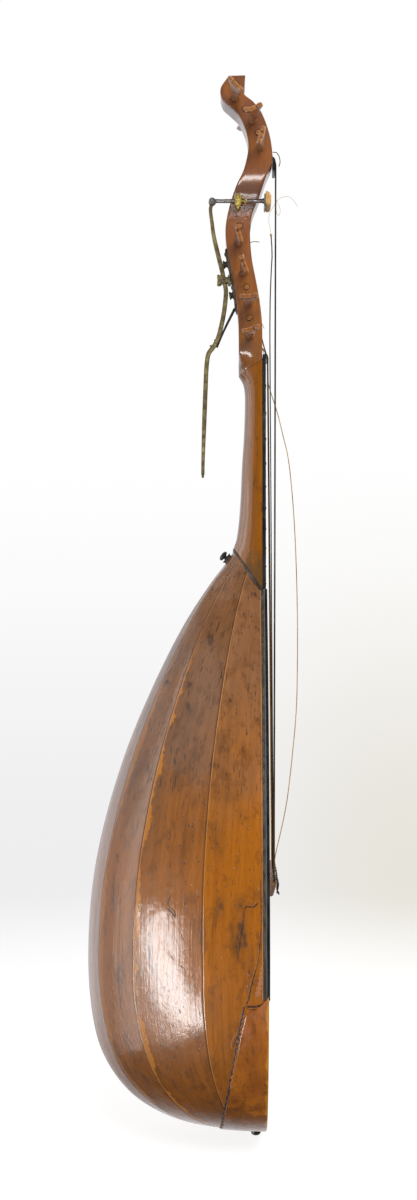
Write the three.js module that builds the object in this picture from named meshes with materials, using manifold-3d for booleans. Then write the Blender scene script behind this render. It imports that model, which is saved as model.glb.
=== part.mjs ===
// A swan-necked theorboed lute with a thumb-worked damper, as separate pieces.
// Millimetres. +Z runs up the neck, +X points out of the soundboard, -Y is the bass side.
// The origin is the flat end of the strap button at the tail.
import * as THREE from 'three';
import { mergeVertices } from 'three/addons/utils/BufferGeometryUtils.js';
import Module from 'manifold-3d';

const wasm = await Module();
wasm.setup();

// ---------------------------------------------------------------- driving dimensions
const GAP = 0.3;                    // clearance between touching pieces
const BOARD_FACE = 11.5;            // X of the soundboard's face
const BOARD_THICK = 2;
const TAIL = 14;                    // Z of the bowl's lowest line
const WIDEST = 228;                 // Z of the bowl's widest section
const HALF_WIDTH = 195;             // half the bowl's width there
const RIB_THICK = 2;
const JOINT_FRONT = 632;            // Z where the neck joint meets the soundboard's face
const JOINT_SLOPE = 1.425;          // rise of the joint for each mm behind the soundboard
const STRIP_RISE = 3.6;             // height of the dark strip in the joint
const NECK_TOP = 902.4;
const NECK_TOP_SLOPE = 0.6;         // the neck's top end falls this much for each mm to the back
const NECK_FACE = 7;                // X of the neck's flat front, under the fingerboard
const BOARD_END = 638.5;            // Z where the fingerboard meets the soundboard
const FINGERBOARD_FACE = 11.3;
const NUT_BOTTOM = 904.9;
const NUT_TOP = 909.3;
const NUT_FACE = 13.4;
const NUT_HALF = 26;
const ROSE_CENTRE = 410;
const ROSE_RADIUS = 45;
const BRIDGE_BOTTOM = 291.5;
const BRIDGE_TOP = 310;
const BRIDGE_HALF = 80;
const STRING_HEIGHT = 19.6;         // X of the strings at the bridge
const CHEEK = 5;                    // thickness of the pegbox walls
const SIDE_SHIFT = -14;             // how far the upper pegbox leans to the bass side
const PEG_HOLE = 3.9;
const UPPER_NUT_FACE = 22.2;
const LEVER_PIVOT = new THREE.Vector3(-37.2, -16, 995.4);
const ROD_Y = -36;
const ROD_Z = 1083.5;
const EYE_X = -50.7;

// ---------------------------------------------------------------- materials
function material(color, roughness, metalness = 0) {
  return new THREE.MeshStandardMaterial({ color, roughness, metalness });
}
const RIB_WOOD = material('#9a5a24', 0.3);
const NECK_WOOD = material('#a8622a', 0.35);
const PEGBOX_WOOD = material('#7c4522', 0.35);
const PEG_WOOD = material('#7a4322', 0.4);
const SPRUCE = material('#c99a5b', 0.5);
const INNER_WOOD = material('#c9a878', 0.8);
const EBONY = material('#1b1713', 0.4);
const BRIDGE_WOOD = material('#6d5a4c', 0.6);
const BRASS = material('#a58a35', 0.35, 0.9);
const DULL_BRASS = material('#6f6235', 0.45, 0.8);
const STEEL = material('#77706b', 0.35, 0.9);
const DARK_STEEL = material('#2c2926', 0.4, 0.8);
const PAD_LEATHER = material('#b58f4e', 0.8);
const GUT = material('#cdbb8d', 0.5);
const WOUND = material('#4b4238', 0.4, 0.7);

const lute = new THREE.Group();

function add(name, geometry, look, position = null, rotation = null) {
  const mesh = new THREE.Mesh(geometry, look);
  mesh.name = name;
  if (position) {
    mesh.position.copy(position);
  }
  if (rotation) {
    mesh.quaternion.copy(rotation);
  }
  lute.add(mesh);
}

// ---------------------------------------------------------------- solids
function volumeOf(points, triangles) {
  let sum = 0;
  for (const [a, b, c] of triangles) {
    sum += points[a].dot(new THREE.Vector3().crossVectors(points[b], points[c]));
  }
  return sum;
}

// A closed solid through rings of points: rings in order, each with the same count.
function loft(rings) {
  const count = rings[0].length;
  const points = rings.flat();
  const triangles = [];
  for (let i = 0; i + 1 < rings.length; i++) {
    for (let j = 0; j < count; j++) {
      const a = i * count + j;
      const b = i * count + (j + 1) % count;
      const [c, d] = [b + count, a + count];
      if (points[a].distanceTo(points[c]) <= points[b].distanceTo(points[d])) {
        triangles.push([a, b, c], [a, c, d]);
      } else {
        triangles.push([a, b, d], [b, c, d]);
      }
    }
  }
  const last = points.length - count;
  for (const [first, turn] of [[0, true], [last, false]]) {
    for (const [a, b, c] of capTriangles(rings[first ? rings.length - 1 : 0])) {
      triangles.push(turn ? [first + a, first + c, first + b] : [first + a, first + b, first + c]);
    }
  }
  if (volumeOf(points, triangles) < 0) {
    triangles.forEach((t) => t.reverse());
  }
  const geometry = new THREE.BufferGeometry();
  geometry.setAttribute('position', new THREE.Float32BufferAttribute(
    points.flatMap((p) => [p.x, p.y, p.z]), 3));
  geometry.setIndex(triangles.flat());
  return geometry;
}

// Triangles across one flat ring, found in the plane that the ring lies in.
function capTriangles(ring) {
  const normal = new THREE.Vector3();
  ring.forEach((p, i) => {
    const q = ring[(i + 1) % ring.length];
    normal.add(new THREE.Vector3().crossVectors(p, q));
  });
  normal.normalize();
  const across = Math.abs(normal.x) < 0.9 ? new THREE.Vector3(1, 0, 0) : new THREE.Vector3(0, 1, 0);
  const side = new THREE.Vector3().crossVectors(normal, across).normalize();
  const up = new THREE.Vector3().crossVectors(normal, side);
  const flat = ring.map((p) => new THREE.Vector2(p.dot(side), p.dot(up)));
  const triangles = THREE.ShapeUtils.triangulateShape(flat, []);
  const [a, b, c] = triangles[0];
  const way = (flat[b].x - flat[a].x) * (flat[c].y - flat[a].y)
    - (flat[b].y - flat[a].y) * (flat[c].x - flat[a].x);
  const order = THREE.ShapeUtils.area(flat) > 0 ? 1 : -1;
  return way * order > 0 ? triangles : triangles.map((t) => [t[0], t[2], t[1]]);
}

function toSolid(geometry) {
  const bare = geometry.clone();
  bare.deleteAttribute('normal');
  bare.deleteAttribute('uv');
  const merged = mergeVertices(bare, 1e-4);
  return new wasm.Manifold(new wasm.Mesh({
    numProp: 3,
    vertProperties: merged.attributes.position.array,
    triVerts: Uint32Array.from(merged.index.array),
  }));
}

function toGeometry(solid) {
  const mesh = solid.getMesh();
  const geometry = new THREE.BufferGeometry();
  geometry.setAttribute('position', new THREE.BufferAttribute(mesh.vertProperties, 3));
  geometry.setIndex(new THREE.BufferAttribute(mesh.triVerts, 1));
  return geometry;
}

function joined(...geometries) {
  return toGeometry(geometries.map(toSolid).reduce((a, b) => a.add(b)));
}

function cut(geometry, ...tools) {
  return toGeometry(tools.reduce((solid, tool) => solid.subtract(toSolid(tool)), toSolid(geometry)));
}

// A flat outline of [x, z] points, given thickness from y0 to y1.
function plateXZ(outline, y0, y1) {
  return loft([y0, y1].map((y) => outline.map(([x, z]) => new THREE.Vector3(x, y, z))));
}

function box(x0, x1, y0, y1, z0, z1) {
  const geometry = new THREE.BoxGeometry(x1 - x0, y1 - y0, z1 - z0);
  return geometry.translate((x0 + x1) / 2, (y0 + y1) / 2, (z0 + z1) / 2);
}

// A round bar between two points.
function rod(from, to, radius, sides = 12, endRadius = radius) {
  const axis = new THREE.Vector3().subVectors(to, from);
  const geometry = new THREE.CylinderGeometry(endRadius, radius, axis.length(), sides);
  geometry.applyQuaternion(new THREE.Quaternion().setFromUnitVectors(
    new THREE.Vector3(0, 1, 0), axis.clone().normalize()));
  return geometry.translate(...from.clone().lerp(to, 0.5).toArray());
}

function point(x, y, z) {
  return new THREE.Vector3(x, y, z);
}

// A bar of flat section along a path: wide across Y, thick in the plane of the path.
function flatBar(path, thick, wide) {
  return loft(path.map((p, i) => {
    const before = path[Math.max(i - 1, 0)];
    const after = path[Math.min(i + 1, path.length - 1)];
    const along = new THREE.Vector3(after.x - before.x, 0, after.z - before.z).normalize();
    const out = new THREE.Vector3(along.z, 0, -along.x).multiplyScalar(thick(i) / 2);
    const half = new THREE.Vector3(0, wide / 2, 0);
    return [
      p.clone().add(out).sub(half),
      p.clone().add(out).add(half),
      p.clone().sub(out).add(half),
      p.clone().sub(out).sub(half),
    ];
  }));
}

// A round string through points, with a mitred ring at each point.
function cordAlong(points, radius, sides = 8) {
  return loft(points.map((p, i) => {
    const before = points[Math.max(i - 1, 0)];
    const after = points[Math.min(i + 1, points.length - 1)];
    const along = new THREE.Vector3().subVectors(after, before).normalize();
    const side = new THREE.Vector3().crossVectors(along, point(0, 1, 0)).normalize();
    const up = new THREE.Vector3().crossVectors(side, along);
    return Array.from({ length: sides }, (_, k) => {
      const turn = 2 * Math.PI * (k + 0.5) / sides;
      return p.clone()
        .addScaledVector(side, radius * Math.cos(turn))
        .addScaledVector(up, radius * Math.sin(turn));
    });
  }));
}

// A smooth height function through [z, value] points in rising order of z.
function smooth(knots) {
  const slope = knots.map((_, i) => {
    const [z0, v0] = knots[Math.max(i - 1, 0)];
    const [z1, v1] = knots[Math.min(i + 1, knots.length - 1)];
    return (v1 - v0) / (z1 - z0);
  });
  return (z) => {
    let i = knots.findIndex(([height]) => height > z) - 1;
    i = i === -2 ? knots.length - 2 : Math.max(i, 0);
    const [z0, v0] = knots[i];
    const [z1, v1] = knots[i + 1];
    const span = z1 - z0;
    const t = (z - z0) / span;
    return v0 * (1 + 2 * t) * (1 - t) ** 2 + slope[i] * span * t * (1 - t) ** 2
      + v1 * t * t * (3 - 2 * t) + slope[i + 1] * span * t * t * (t - 1);
  };
}

// ---------------------------------------------------------------- the bowl's surface
// Depth behind the soundboard's face, down the middle of the back: (z, depth).
const depthCurve = new THREE.CatmullRomCurve3([
  [TAIL, 52], [20, 91], [34, 128], [56, 161.5], [80, 181.5], [110, 196], [145, 203.5],
  [220, 207.5], [320, 199], [430, 170.5], [520, 134.5], [600, 94], [650, 61], [668, 47], [690, 32.5],
].map(([z, depth]) => point(z, depth, 0)), false, 'centripetal');

const upperWidth = smooth([
  [WIDEST - 20, HALF_WIDTH - 1], [WIDEST + 20, HALF_WIDTH - 1], [300, 187], [400, 161], [500, 120],
  [580, 75], [JOINT_FRONT, 38], [700, 34],
]);

function halfWidth(z) {
  if (z > WIDEST + 20) {
    return upperWidth(z);
  }
  return HALF_WIDTH * Math.sqrt(Math.max(0, 1 - ((WIDEST - z) / (WIDEST - TAIL)) ** 2));
}

// Ribs crowd towards the soundboard near the tail, and spread a little at the neck.
function seamAngle(seam, z) {
  const TAIL_CROWDING = 0.34;
  const down = Math.max(0, (WIDEST - z) / (WIDEST - TAIL));
  const up = Math.max(0, (z - WIDEST) / (JOINT_FRONT - WIDEST));
  return (seam.middle + (seam.neck - seam.middle) * up) * (1 - TAIL_CROWDING * down * down);
}

// A point of the bowl: t runs from tail to neck, angle from the soundboard's edge round the back.
function bowlPoint(t, angleAt, inward = 0) {
  const at = (u) => {
    const { x: z, y: depth } = depthCurve.getPoint(u);
    const angle = angleAt(z, depth);
    return (turn) => point(
      BOARD_FACE - depth * Math.sin(angle + turn), -halfWidth(z) * Math.cos(angle + turn), z);
  };
  const STEP = 1e-3;
  const here = at(t)(0);
  const along = new THREE.Vector3().subVectors(at(Math.min(t + STEP, 1))(0), at(Math.max(t - STEP, 0))(0));
  const around = new THREE.Vector3().subVectors(at(t)(STEP), at(t)(-STEP));
  const normal = new THREE.Vector3().crossVectors(along, around).normalize();
  return here.addScaledVector(normal, inward);
}

// Where a line of constant angle meets the slanted neck joint, lowered by a distance.
function jointParameter(angleAt, lowered) {
  let low = 0.5;
  let high = 1;
  for (let i = 0; i < 40; i++) {
    const middle = (low + high) / 2;
    const { x: z, y: depth } = depthCurve.getPoint(middle);
    const joint = JOINT_FRONT - lowered + JOINT_SLOPE * depth * Math.sin(angleAt(z, depth));
    if (z < joint) {
      low = middle;
    } else {
      high = middle;
    }
  }
  return low;
}

// Keeps a point under the slanted neck joint.
function belowJoint(p, lowered) {
  p.z = Math.min(p.z, JOINT_FRONT - lowered + JOINT_SLOPE * (BOARD_FACE - p.x));
  return p;
}

const degrees = THREE.MathUtils.degToRad;
const SEAMS = [
  { middle: degrees(19.7), neck: degrees(23.5) },
  { middle: degrees(44.9), neck: degrees(49) },
  { middle: degrees(65.5), neck: degrees(68.5) },
  { middle: degrees(82), neck: degrees(83) },
];
const RIB_EDGE = 2.4;               // how far behind the soundboard's face the side ribs begin

// Seam number k of the whole bowl, 0 at the bass edge and 9 at the treble edge.
function seamLine(k) {
  if (k > 4) {
    const mirrored = seamLine(9 - k);
    return (z, depth) => Math.PI - mirrored(z, depth);
  }
  if (k === 0) {
    return (z, depth) => Math.asin(RIB_EDGE / depth);
  }
  return (z) => seamAngle(SEAMS[k - 1], z);
}

function ribGeometry(k) {
  const STATIONS = 22;
  const ACROSS = 3;
  const FIRST = 0.004;              // the ribs stop just short of the tail's ridge
  const low = seamLine(k);
  const high = seamLine(k + 1);
  const lines = Array.from({ length: ACROSS + 1 }, (_, j) => (z, depth) => {
    const a = low(z, depth);
    const b = high(z, depth);
    const inset = Math.min(0.5 * GAP / Math.max(depth, halfWidth(z)), 0.1 * (b - a));
    return a + inset + (b - a - 2 * inset) * j / ACROSS;
  });
  const lowered = STRIP_RISE + GAP;
  const ends = lines.map((line) => jointParameter(line, lowered));
  const shortest = jointParameter(seamLine(0), lowered);
  const rings = [];
  for (let i = 0; i <= STATIONS; i++) {
    const share = (i / STATIONS) ** 1.35;
    const at = (j) => FIRST + (shortest - FIRST) * share + (ends[j] - shortest) * share ** 5;
    const outer = lines.map((line, j) => belowJoint(bowlPoint(at(j), line), lowered));
    const inner = lines.map((line, j) => belowJoint(bowlPoint(at(j), line, -RIB_THICK), lowered));
    rings.push([...outer, ...inner.reverse()]);
  }
  return loft(rings);
}

for (let k = 0; k < 9; k++) {
  add(`rib_${k + 1}`, ribGeometry(k), RIB_WOOD);
}

// ---------------------------------------------------------------- capping strip round the tail
function claspGeometry() {
  const TOP = 200;                  // Z of the strip's two ends
  const THICK = 1.2;
  const CLEAR = 0.7;                // room for the flat facets of the ribs underneath
  const STATIONS = 20;
  const ACROSS = 4;
  const stripDepth = (z) => 24 + 29 * (Math.max(0, TOP - z) / (TOP - TAIL)) ** 0.9;
  let top = 0;
  while (depthCurve.getPoint(top).x < TOP) {
    top += 0.001;
  }
  const ringAt = (share, side) => {
    const t = Math.max(top * share ** 1.5, 0.0015);
    const surface = (j, inward) => {
      const line = (z, depth) => {
        const reach = Math.min(stripDepth(z) / depth, 0.995);
        return Math.asin(reach * Math.min(j / ACROSS + 0.002, 1));
      };
      const p = bowlPoint(t, line, inward);
      p.y *= side;
      return p;
    };
    const outer = Array.from({ length: ACROSS + 1 }, (_, j) => surface(j, CLEAR + THICK));
    const inner = Array.from({ length: ACROSS + 1 }, (_, j) => surface(j, CLEAR));
    return [...outer, ...inner.reverse()];
  };
  const rings = [];
  for (let i = STATIONS; i >= 1; i--) {
    rings.push(ringAt(i / STATIONS, 1));
  }
  for (let i = 1; i <= STATIONS; i++) {
    rings.push(ringAt(i / STATIONS, -1));
  }
  return loft(rings);
}
add('end_clasp', claspGeometry(), RIB_WOOD);

// ---------------------------------------------------------------- soundboard and its fittings
function boardOutline() {
  const STEPS = 28;
  const EDGE = 0.3;                 // it ends this far inside the ribs' outer face
  const side = [];
  for (let i = 0; i <= STEPS; i++) {
    const turn = Math.PI * i / STEPS;
    const middle = (TAIL + JOINT_FRONT) / 2;
    const z = middle - ((JOINT_FRONT - TAIL) / 2 - EDGE) * Math.cos(turn);
    side.push([halfWidth(z) - EDGE, z]);
  }
  const mirrored = side.slice(1).reverse().map(([y, z]) => [-y, z]);
  return [...side, ...mirrored];
}

// A flat outline of [y, z] points with holes, given thickness from x0 to x1.
function plateYZ(outline, holes, x0, x1) {
  const shape = new THREE.Shape(outline.map(([y, z]) => new THREE.Vector2(y, z)));
  shape.holes = holes.map((hole) => new THREE.Path(hole.map(([y, z]) => new THREE.Vector2(y, z))));
  const geometry = new THREE.ExtrudeGeometry(shape, { depth: x1 - x0, bevelEnabled: false });
  const turn = new THREE.Matrix4().makeBasis(point(0, 1, 0), point(0, 0, 1), point(1, 0, 0));
  return geometry.applyMatrix4(turn).translate(x0, 0, 0);
}

function ringPoints(y, z, radius, count) {
  return Array.from({ length: count }, (_, k) => {
    const turn = 2 * Math.PI * k / count;
    return [y + radius * Math.cos(turn), z + radius * Math.sin(turn)];
  });
}

add('soundboard', plateYZ(boardOutline(), [ringPoints(0, ROSE_CENTRE, ROSE_RADIUS, 32)],
  BOARD_FACE - BOARD_THICK, BOARD_FACE), SPRUCE);

function roseGeometry() {
  const PETALS = 8;
  const holes = [ringPoints(0, ROSE_CENTRE, 5, 10)];
  for (const [distance, radius, start] of [[15, 5, 0], [31, 8, 0.5]]) {
    for (let k = 0; k < PETALS; k++) {
      const turn = 2 * Math.PI * (k + start) / PETALS;
      const y = distance * Math.cos(turn);
      const z = ROSE_CENTRE + distance * Math.sin(turn);
      holes.push(ringPoints(y, z, radius, 10));
    }
  }
  const rim = ringPoints(0, ROSE_CENTRE, ROSE_RADIUS - GAP - 0.3, 32);
  return plateYZ(rim, holes, BOARD_FACE - 1.6, BOARD_FACE - 0.3);
}
add('rose', roseGeometry(), SPRUCE);

const BRACES = [
  { name: 'brace_above_rose', z: 490, half: 118 },
  { name: 'brace_below_rose', z: 345, half: 168 },
  { name: 'brace_below_bridge', z: 215, half: 182 },
];
for (const brace of BRACES) {
  const HEIGHT = 16;
  const WIDE = 6;
  const front = BOARD_FACE - BOARD_THICK - GAP;
  const outline = [
    [-brace.half, front], [-brace.half, front - 4], [-brace.half + 30, front - HEIGHT],
    [brace.half - 30, front - HEIGHT], [brace.half, front - 4], [brace.half, front],
  ];
  const bar = loft([-WIDE / 2, WIDE / 2].map((z) => outline.map(([y, x]) => point(x, y, z))));
  add(brace.name, bar, INNER_WOOD, point(0, 0, brace.z));
}

// The blocks that the ribs are glued to, at the tail and under the neck.
add('tail_block', loft([-27, 8.8].map((x) => [
  point(x, -36, 26), point(x, 36, 26), point(x, 70, 50), point(x, -70, 50),
])), INNER_WOOD);

function neckBlockGeometry() {
  const SIDES = 10;
  const LENGTH = 46;
  const inward = -(RIB_THICK + 1.2);
  return loft([0, 0.5, 1].map((share) => {
    const lowered = STRIP_RISE + 1 + LENGTH * share;
    return Array.from({ length: SIDES + 1 }, (_, k) => {
      const edge = (z, depth) => Math.asin((RIB_EDGE + 1) / depth);
      const line = (z, depth) => edge(z, depth) + (Math.PI - 2 * edge(z, depth)) * k / SIDES;
      return belowJoint(bowlPoint(jointParameter(line, lowered), line, inward), lowered);
    });
  }));
}
add('neck_block', neckBlockGeometry(), INNER_WOOD);

// A half binding along the soundboard's edge, from the neck down to the capping strip.
function bindingGeometry(side) {
  const STATIONS = 26;
  const THICK = 0.9;
  const BACK = 5.2;                 // X of the edge on the rib
  const LIP = 3.2;                  // how far it comes in over the soundboard
  const [bottom, top] = [203.5, 634];
  const rings = [];
  for (let i = 0; i <= STATIONS; i++) {
    const z = bottom + (top - bottom) * i / STATIONS;
    const slope = (halfWidth(z + 1) - halfWidth(z - 1)) / 2;
    const out = new THREE.Vector2(1, -slope).normalize();
    // Room for the side rib's flat facets, which stand proudest where the outline turns hollow.
    const clear = 0.7 + 1.2 * THREE.MathUtils.smoothstep(z, 540, 600);
    const at = (x, outward) => point(
      x, side * (halfWidth(z) + outward * out.x), z + outward * out.y);
    rings.push([
      at(BACK, clear), at(BACK, clear + THICK), at(BOARD_FACE + GAP + THICK, clear + THICK),
      at(BOARD_FACE + GAP + THICK, -LIP), at(BOARD_FACE + GAP, -LIP), at(BOARD_FACE + GAP, clear),
    ]);
  }
  return loft(rings);
}
add('bass_binding', bindingGeometry(-1), EBONY);
add('treble_binding', bindingGeometry(1), EBONY);

add('bridge', plateXZ([
  [BOARD_FACE + GAP, BRIDGE_BOTTOM], [BOARD_FACE + GAP, BRIDGE_TOP], [20.8, BRIDGE_TOP],
  [23.6, BRIDGE_TOP - 3], [18.5, BRIDGE_BOTTOM],
], -BRIDGE_HALF, BRIDGE_HALF), BRIDGE_WOOD);

// ---------------------------------------------------------------- neck and fingerboard
const neckBack = smooth([
  [640, 36], [684, 33], [700, 29.8], [726, 26.9], [755, 25], [794, 23.4], [832, 21], [880, 19.8],
  [910, 19.8],
]);
function neckHalf(z) {
  return 25.6 + (37 - 25.6) * (NECK_TOP - z) / (NECK_TOP - JOINT_FRONT);
}

function neckRing(share, extra = 0) {
  const SIDES = 12;
  return Array.from({ length: SIDES + 1 }, (_, k) => {
    const angle = Math.PI * k / SIDES;
    const rough = 684 + (NECK_TOP - 684) * share;
    const x = NECK_FACE - (neckBack(rough) + extra) * Math.sin(angle);
    const joint = JOINT_FRONT + JOINT_SLOPE * (BOARD_FACE - x);
    const top = NECK_TOP - NECK_TOP_SLOPE * (NECK_FACE - x);
    const z = joint + (top - joint) * share;
    return point(x, -(neckHalf(z) + extra) * Math.cos(angle), z);
  });
}
add('neck', loft(Array.from({ length: 13 }, (_, i) => neckRing(i / 12))), NECK_WOOD);

const stripTop = neckRing(0, 0.6).map((p) => p.setZ(p.z - GAP));
const stripBottom = stripTop.map((p) => p.clone().setZ(p.z - STRIP_RISE + GAP));
add('neck_joint_strip', loft([stripBottom, stripTop]), EBONY);

add('fingerboard', loft([BOARD_END, NUT_BOTTOM - GAP].map((z) => {
  const half = neckHalf(z) - 0.3;
  return [
    point(NECK_FACE + GAP, -half, z), point(NECK_FACE + GAP, half, z),
    point(FINGERBOARD_FACE, half, z), point(FINGERBOARD_FACE, -half, z),
  ];
})), EBONY);

add('nut', plateXZ([
  [NECK_FACE + 0.6, NUT_BOTTOM], [NUT_FACE - 0.8, NUT_BOTTOM], [NUT_FACE, NUT_BOTTOM + 1],
  [NUT_FACE - 0.6, NUT_TOP - 1], [NUT_FACE - 2.4, NUT_TOP], [NECK_FACE + 0.6, NUT_TOP],
], -NUT_HALF, NUT_HALF), EBONY);

// ---------------------------------------------------------------- swan-necked pegbox
// Matching points down the back edge and the front edge of its side outline: (x, z).
const PEGBOX_BACK = [
  [-13.6, 890.6], [-20.4, 898], [-20.1, 917], [-20.7, 949], [-24.2, 981], [-29, 1006], [-33.8, 1031],
  [-35.5, 1055], [-31.5, 1078], [-23.3, 1102], [-14.5, 1120], [-9.7, 1140], [-9.6, 1153],
  [-13, 1167], [-20, 1182], [-30, 1192], [-39, 1201], [-41.3, 1213], [-33, 1224.5],
];
const PEGBOX_FRONT = [
  [NECK_FACE, NECK_TOP + 0.5], [NECK_FACE, 906], [7.1, 918], [6.9, 945], [4, 972], [-0.5, 997], [-5, 1021],
  [-7, 1050], [-4.5, 1071.5], [3.5, 1091], [11.5, 1113], [18.3, 1129], [17.6, 1148],
  [13.3, 1167.5], [6, 1186], [-3, 1198], [-14.4, 1208], [-13.5, 1218], [-12.6, 1228.5],
];
const PEGBOX_PAIRS = PEGBOX_BACK.length - 1;
const edgeCurve = (edge) => new THREE.CatmullRomCurve3(
  edge.map(([x, z]) => point(x, 0, z)), false, 'catmullrom', 0.5);
const backEdge = edgeCurve(PEGBOX_BACK);
const frontEdge = edgeCurve(PEGBOX_FRONT);

function sideShift(z) {
  return SIDE_SHIFT * THREE.MathUtils.smoothstep(z, 1060, 1128);
}

function pegboxHalf(z) {
  return THREE.MathUtils.mapLinear(z, 896, 1228, 24.5, 20);
}

// A stretch of the pegbox between two stations, from one share of its depth to another.
function pegboxStretch(from, to, behind, ahead, wall) {
  const steps = Math.ceil(2 * (to - from));
  return loft(Array.from({ length: steps + 1 }, (_, i) => {
    const t = (from + (to - from) * i / steps) / PEGBOX_PAIRS;
    const back = backEdge.getPoint(t);
    const front = frontEdge.getPoint(t);
    const corner = (share, side) => {
      const p = back.clone().lerp(front, share);
      p.y = sideShift(p.z) + side * (pegboxHalf(p.z) - wall);
      return p;
    };
    return [corner(behind, -1), corner(behind, 1), corner(ahead, 1), corner(ahead, -1)];
  }));
}

// Pegs in order up the pegbox: where the shaft crosses, and which side its head is on.
const LOWER_PEGS = [
  { x: -6.8, z: 930.7, side: -1, turn: 18 },
  { x: -7.7, z: 951.3, side: 1, turn: 20 },
  { x: -8.6, z: 968, side: -1, turn: 4 },
  { x: -11, z: 987.1, side: 1, turn: 140 },
  { x: -14.4, z: 1004, side: -1, turn: 109 },
  { x: -15.5, z: 1022.9, side: 1, turn: 65 },
  { x: -20, z: 1038.6, side: -1, turn: 105 },
  { x: -18.6, z: 1058, side: 1, turn: 100 },
];
const UPPER_PEGS = [
  { x: 4.9, z: 1145.7, side: -1, turn: 72 },
  { x: 2.6, z: 1162.2, side: 1, turn: 75 },
  { x: -3.5, z: 1176.6, side: -1, turn: 22 },
  { x: -12.5, z: 1189.6, side: 1, turn: 30 },
  { x: -23.8, z: 1203, side: -1, turn: 134 },
  { x: -23.6, z: 1218, side: 1, turn: 130 },
];
const PEGS = [...LOWER_PEGS, ...UPPER_PEGS];

function pegboxGeometry() {
  const whole = pegboxStretch(0, PEGBOX_PAIRS, 0, 1, 0);
  const lowerTrough = pegboxStretch(1.5, 7.6, 0.2, 1.4, CHEEK);
  const upperTrough = pegboxStretch(11.3, 17.4, 0.16, 1.4, CHEEK);
  const holes = PEGS.map(({ x, z }) => rod(point(x, -60, z), point(x, 60, z), PEG_HOLE, 12));
  return cut(whole, lowerTrough, upperTrough, ...holes);
}
add('pegbox', pegboxGeometry(), PEGBOX_WOOD);

const upperNutMiddle = sideShift(1125);
add('upper_nut', plateXZ([
  [18.9, 1133.5], [20.6, 1133.5], [UPPER_NUT_FACE, 1127], [UPPER_NUT_FACE, 1119.4], [18.9, 1119.4],
], upperNutMiddle - 17, upperNutMiddle + 17), EBONY);

// ---------------------------------------------------------------- pegs
// A peg lies along its own +Y: shaft behind the collar at y = 0, head in front.
function pegGeometry(through) {
  const SHAFT = 3.5;
  const TIP = 3.2;
  const COLLAR = 4.6;
  const STEM = 3.4;
  const turned = new THREE.LatheGeometry([
    [0, -through], [TIP - 0.6, -through], [TIP, -through + 0.8], [SHAFT, 0], [COLLAR, GAP], [COLLAR, 2.4],
    [STEM, 3.4], [STEM - 0.4, 11], [2.4, 20], [0, 20],
  ].map(([r, y]) => new THREE.Vector2(r, y)), 12);
  const ear = (side) => Array.from({ length: 5 }, (_, k) => {
    const angle = Math.PI * k / 4;
    return [side * (7.1 + 3.2 * Math.cos(angle)), 49 + 3.2 * Math.sin(angle)];
  });
  const outline = [
    [-2.8, 11], [2.8, 11], [5.4, 28], ...ear(1), [0, 43.5], ...ear(-1).reverse(), [-5.4, 28],
  ];
  const blade = loft([-3, 3].map((z) => outline.map(([x, y]) => point(x, y, z * (y > 40 ? 0.8 : 1)))));
  return joined(turned, blade);
}

PEGS.forEach(({ x, z, side, turn }, i) => {
  const COLLAR_GAP = 0.5;
  const half = pegboxHalf(z);
  const geometry = pegGeometry(2 * half + 2.5);
  const place = point(x, sideShift(z) + side * (half + COLLAR_GAP), z);
  const point_out = new THREE.Quaternion().setFromEuler(new THREE.Euler(0, 0, side > 0 ? 0 : Math.PI));
  const spin = new THREE.Quaternion().setFromAxisAngle(point(0, 1, 0), degrees(turn));
  const name = i < LOWER_PEGS.length ? `lower_peg_${i + 1}` : `upper_peg_${i + 1 - LOWER_PEGS.length}`;
  add(name, geometry, PEG_WOOD, place, point_out.multiply(spin));
});

// ---------------------------------------------------------------- strings held taut
const PEG_SHAFT = 3.5;

// The last point of a string: just clear of the front of its peg's shaft, and a little nearer to the
// middle of the pegbox than where the string leaves its nut.
function atPeg(peg, from, radius) {
  const INWARD = 0.75;
  const CLEAR = 0.5;
  const along = new THREE.Vector3(peg.x - from.x, 0, peg.z - from.z).normalize();
  const front = new THREE.Vector3(along.z, 0, -along.x);
  const middle = sideShift(peg.z);
  const y = middle + (from.y - middle) * INWARD;
  return point(peg.x, y, peg.z).addScaledVector(front, PEG_SHAFT + radius + CLEAR);
}

const FRETTED = [
  { peg: 0, nut: -19, bridge: -14, radius: 0.6, look: WOUND },
  { peg: 1, nut: 19, bridge: 74, radius: 0.35, look: GUT },
  { peg: 2, nut: -9, bridge: 12, radius: 0.5, look: WOUND },
  { peg: 3, nut: 12, bridge: 52, radius: 0.35, look: GUT },
  { peg: 4, nut: 2, bridge: 33, radius: 0.45, look: GUT },
];
FRETTED.forEach(({ peg, nut, bridge, radius, look }, i) => {
  const overNut = point(NUT_FACE + radius + 0.3, nut, NUT_BOTTOM + 1);
  const behindNut = point(NUT_FACE + radius - 0.2, nut, NUT_TOP - 0.8);
  const route = [
    point(STRING_HEIGHT, bridge, BRIDGE_TOP + 0.4), overNut, behindNut,
    atPeg(LOWER_PEGS[peg], behindNut, radius),
  ];
  add(`fretted_string_${i + 1}`, cordAlong(route, radius), look);
});

const DIAPASONS = [
  { peg: 0, nut: -27, bridge: -76, radius: 0.75 },
  { peg: 1, nut: -10, bridge: -50, radius: 0.6 },
  { peg: 2, nut: -18.5, bridge: -63, radius: 0.7 },
];
DIAPASONS.forEach(({ peg, nut, bridge, radius }, i) => {
  const y = nut;
  const corner = point(20.6 + radius + 0.5, y, 1134.2);
  const route = [
    point(STRING_HEIGHT, bridge, BRIDGE_TOP + 0.4),
    point(UPPER_NUT_FACE + radius + 0.3, y, 1119.4),
    point(UPPER_NUT_FACE + radius + 0.3, y, 1127),
    corner,
    atPeg(UPPER_PEGS[peg], corner, radius),
  ];
  add(`diapason_string_${i + 1}`, cordAlong(route, radius), WOUND);
});

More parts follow.
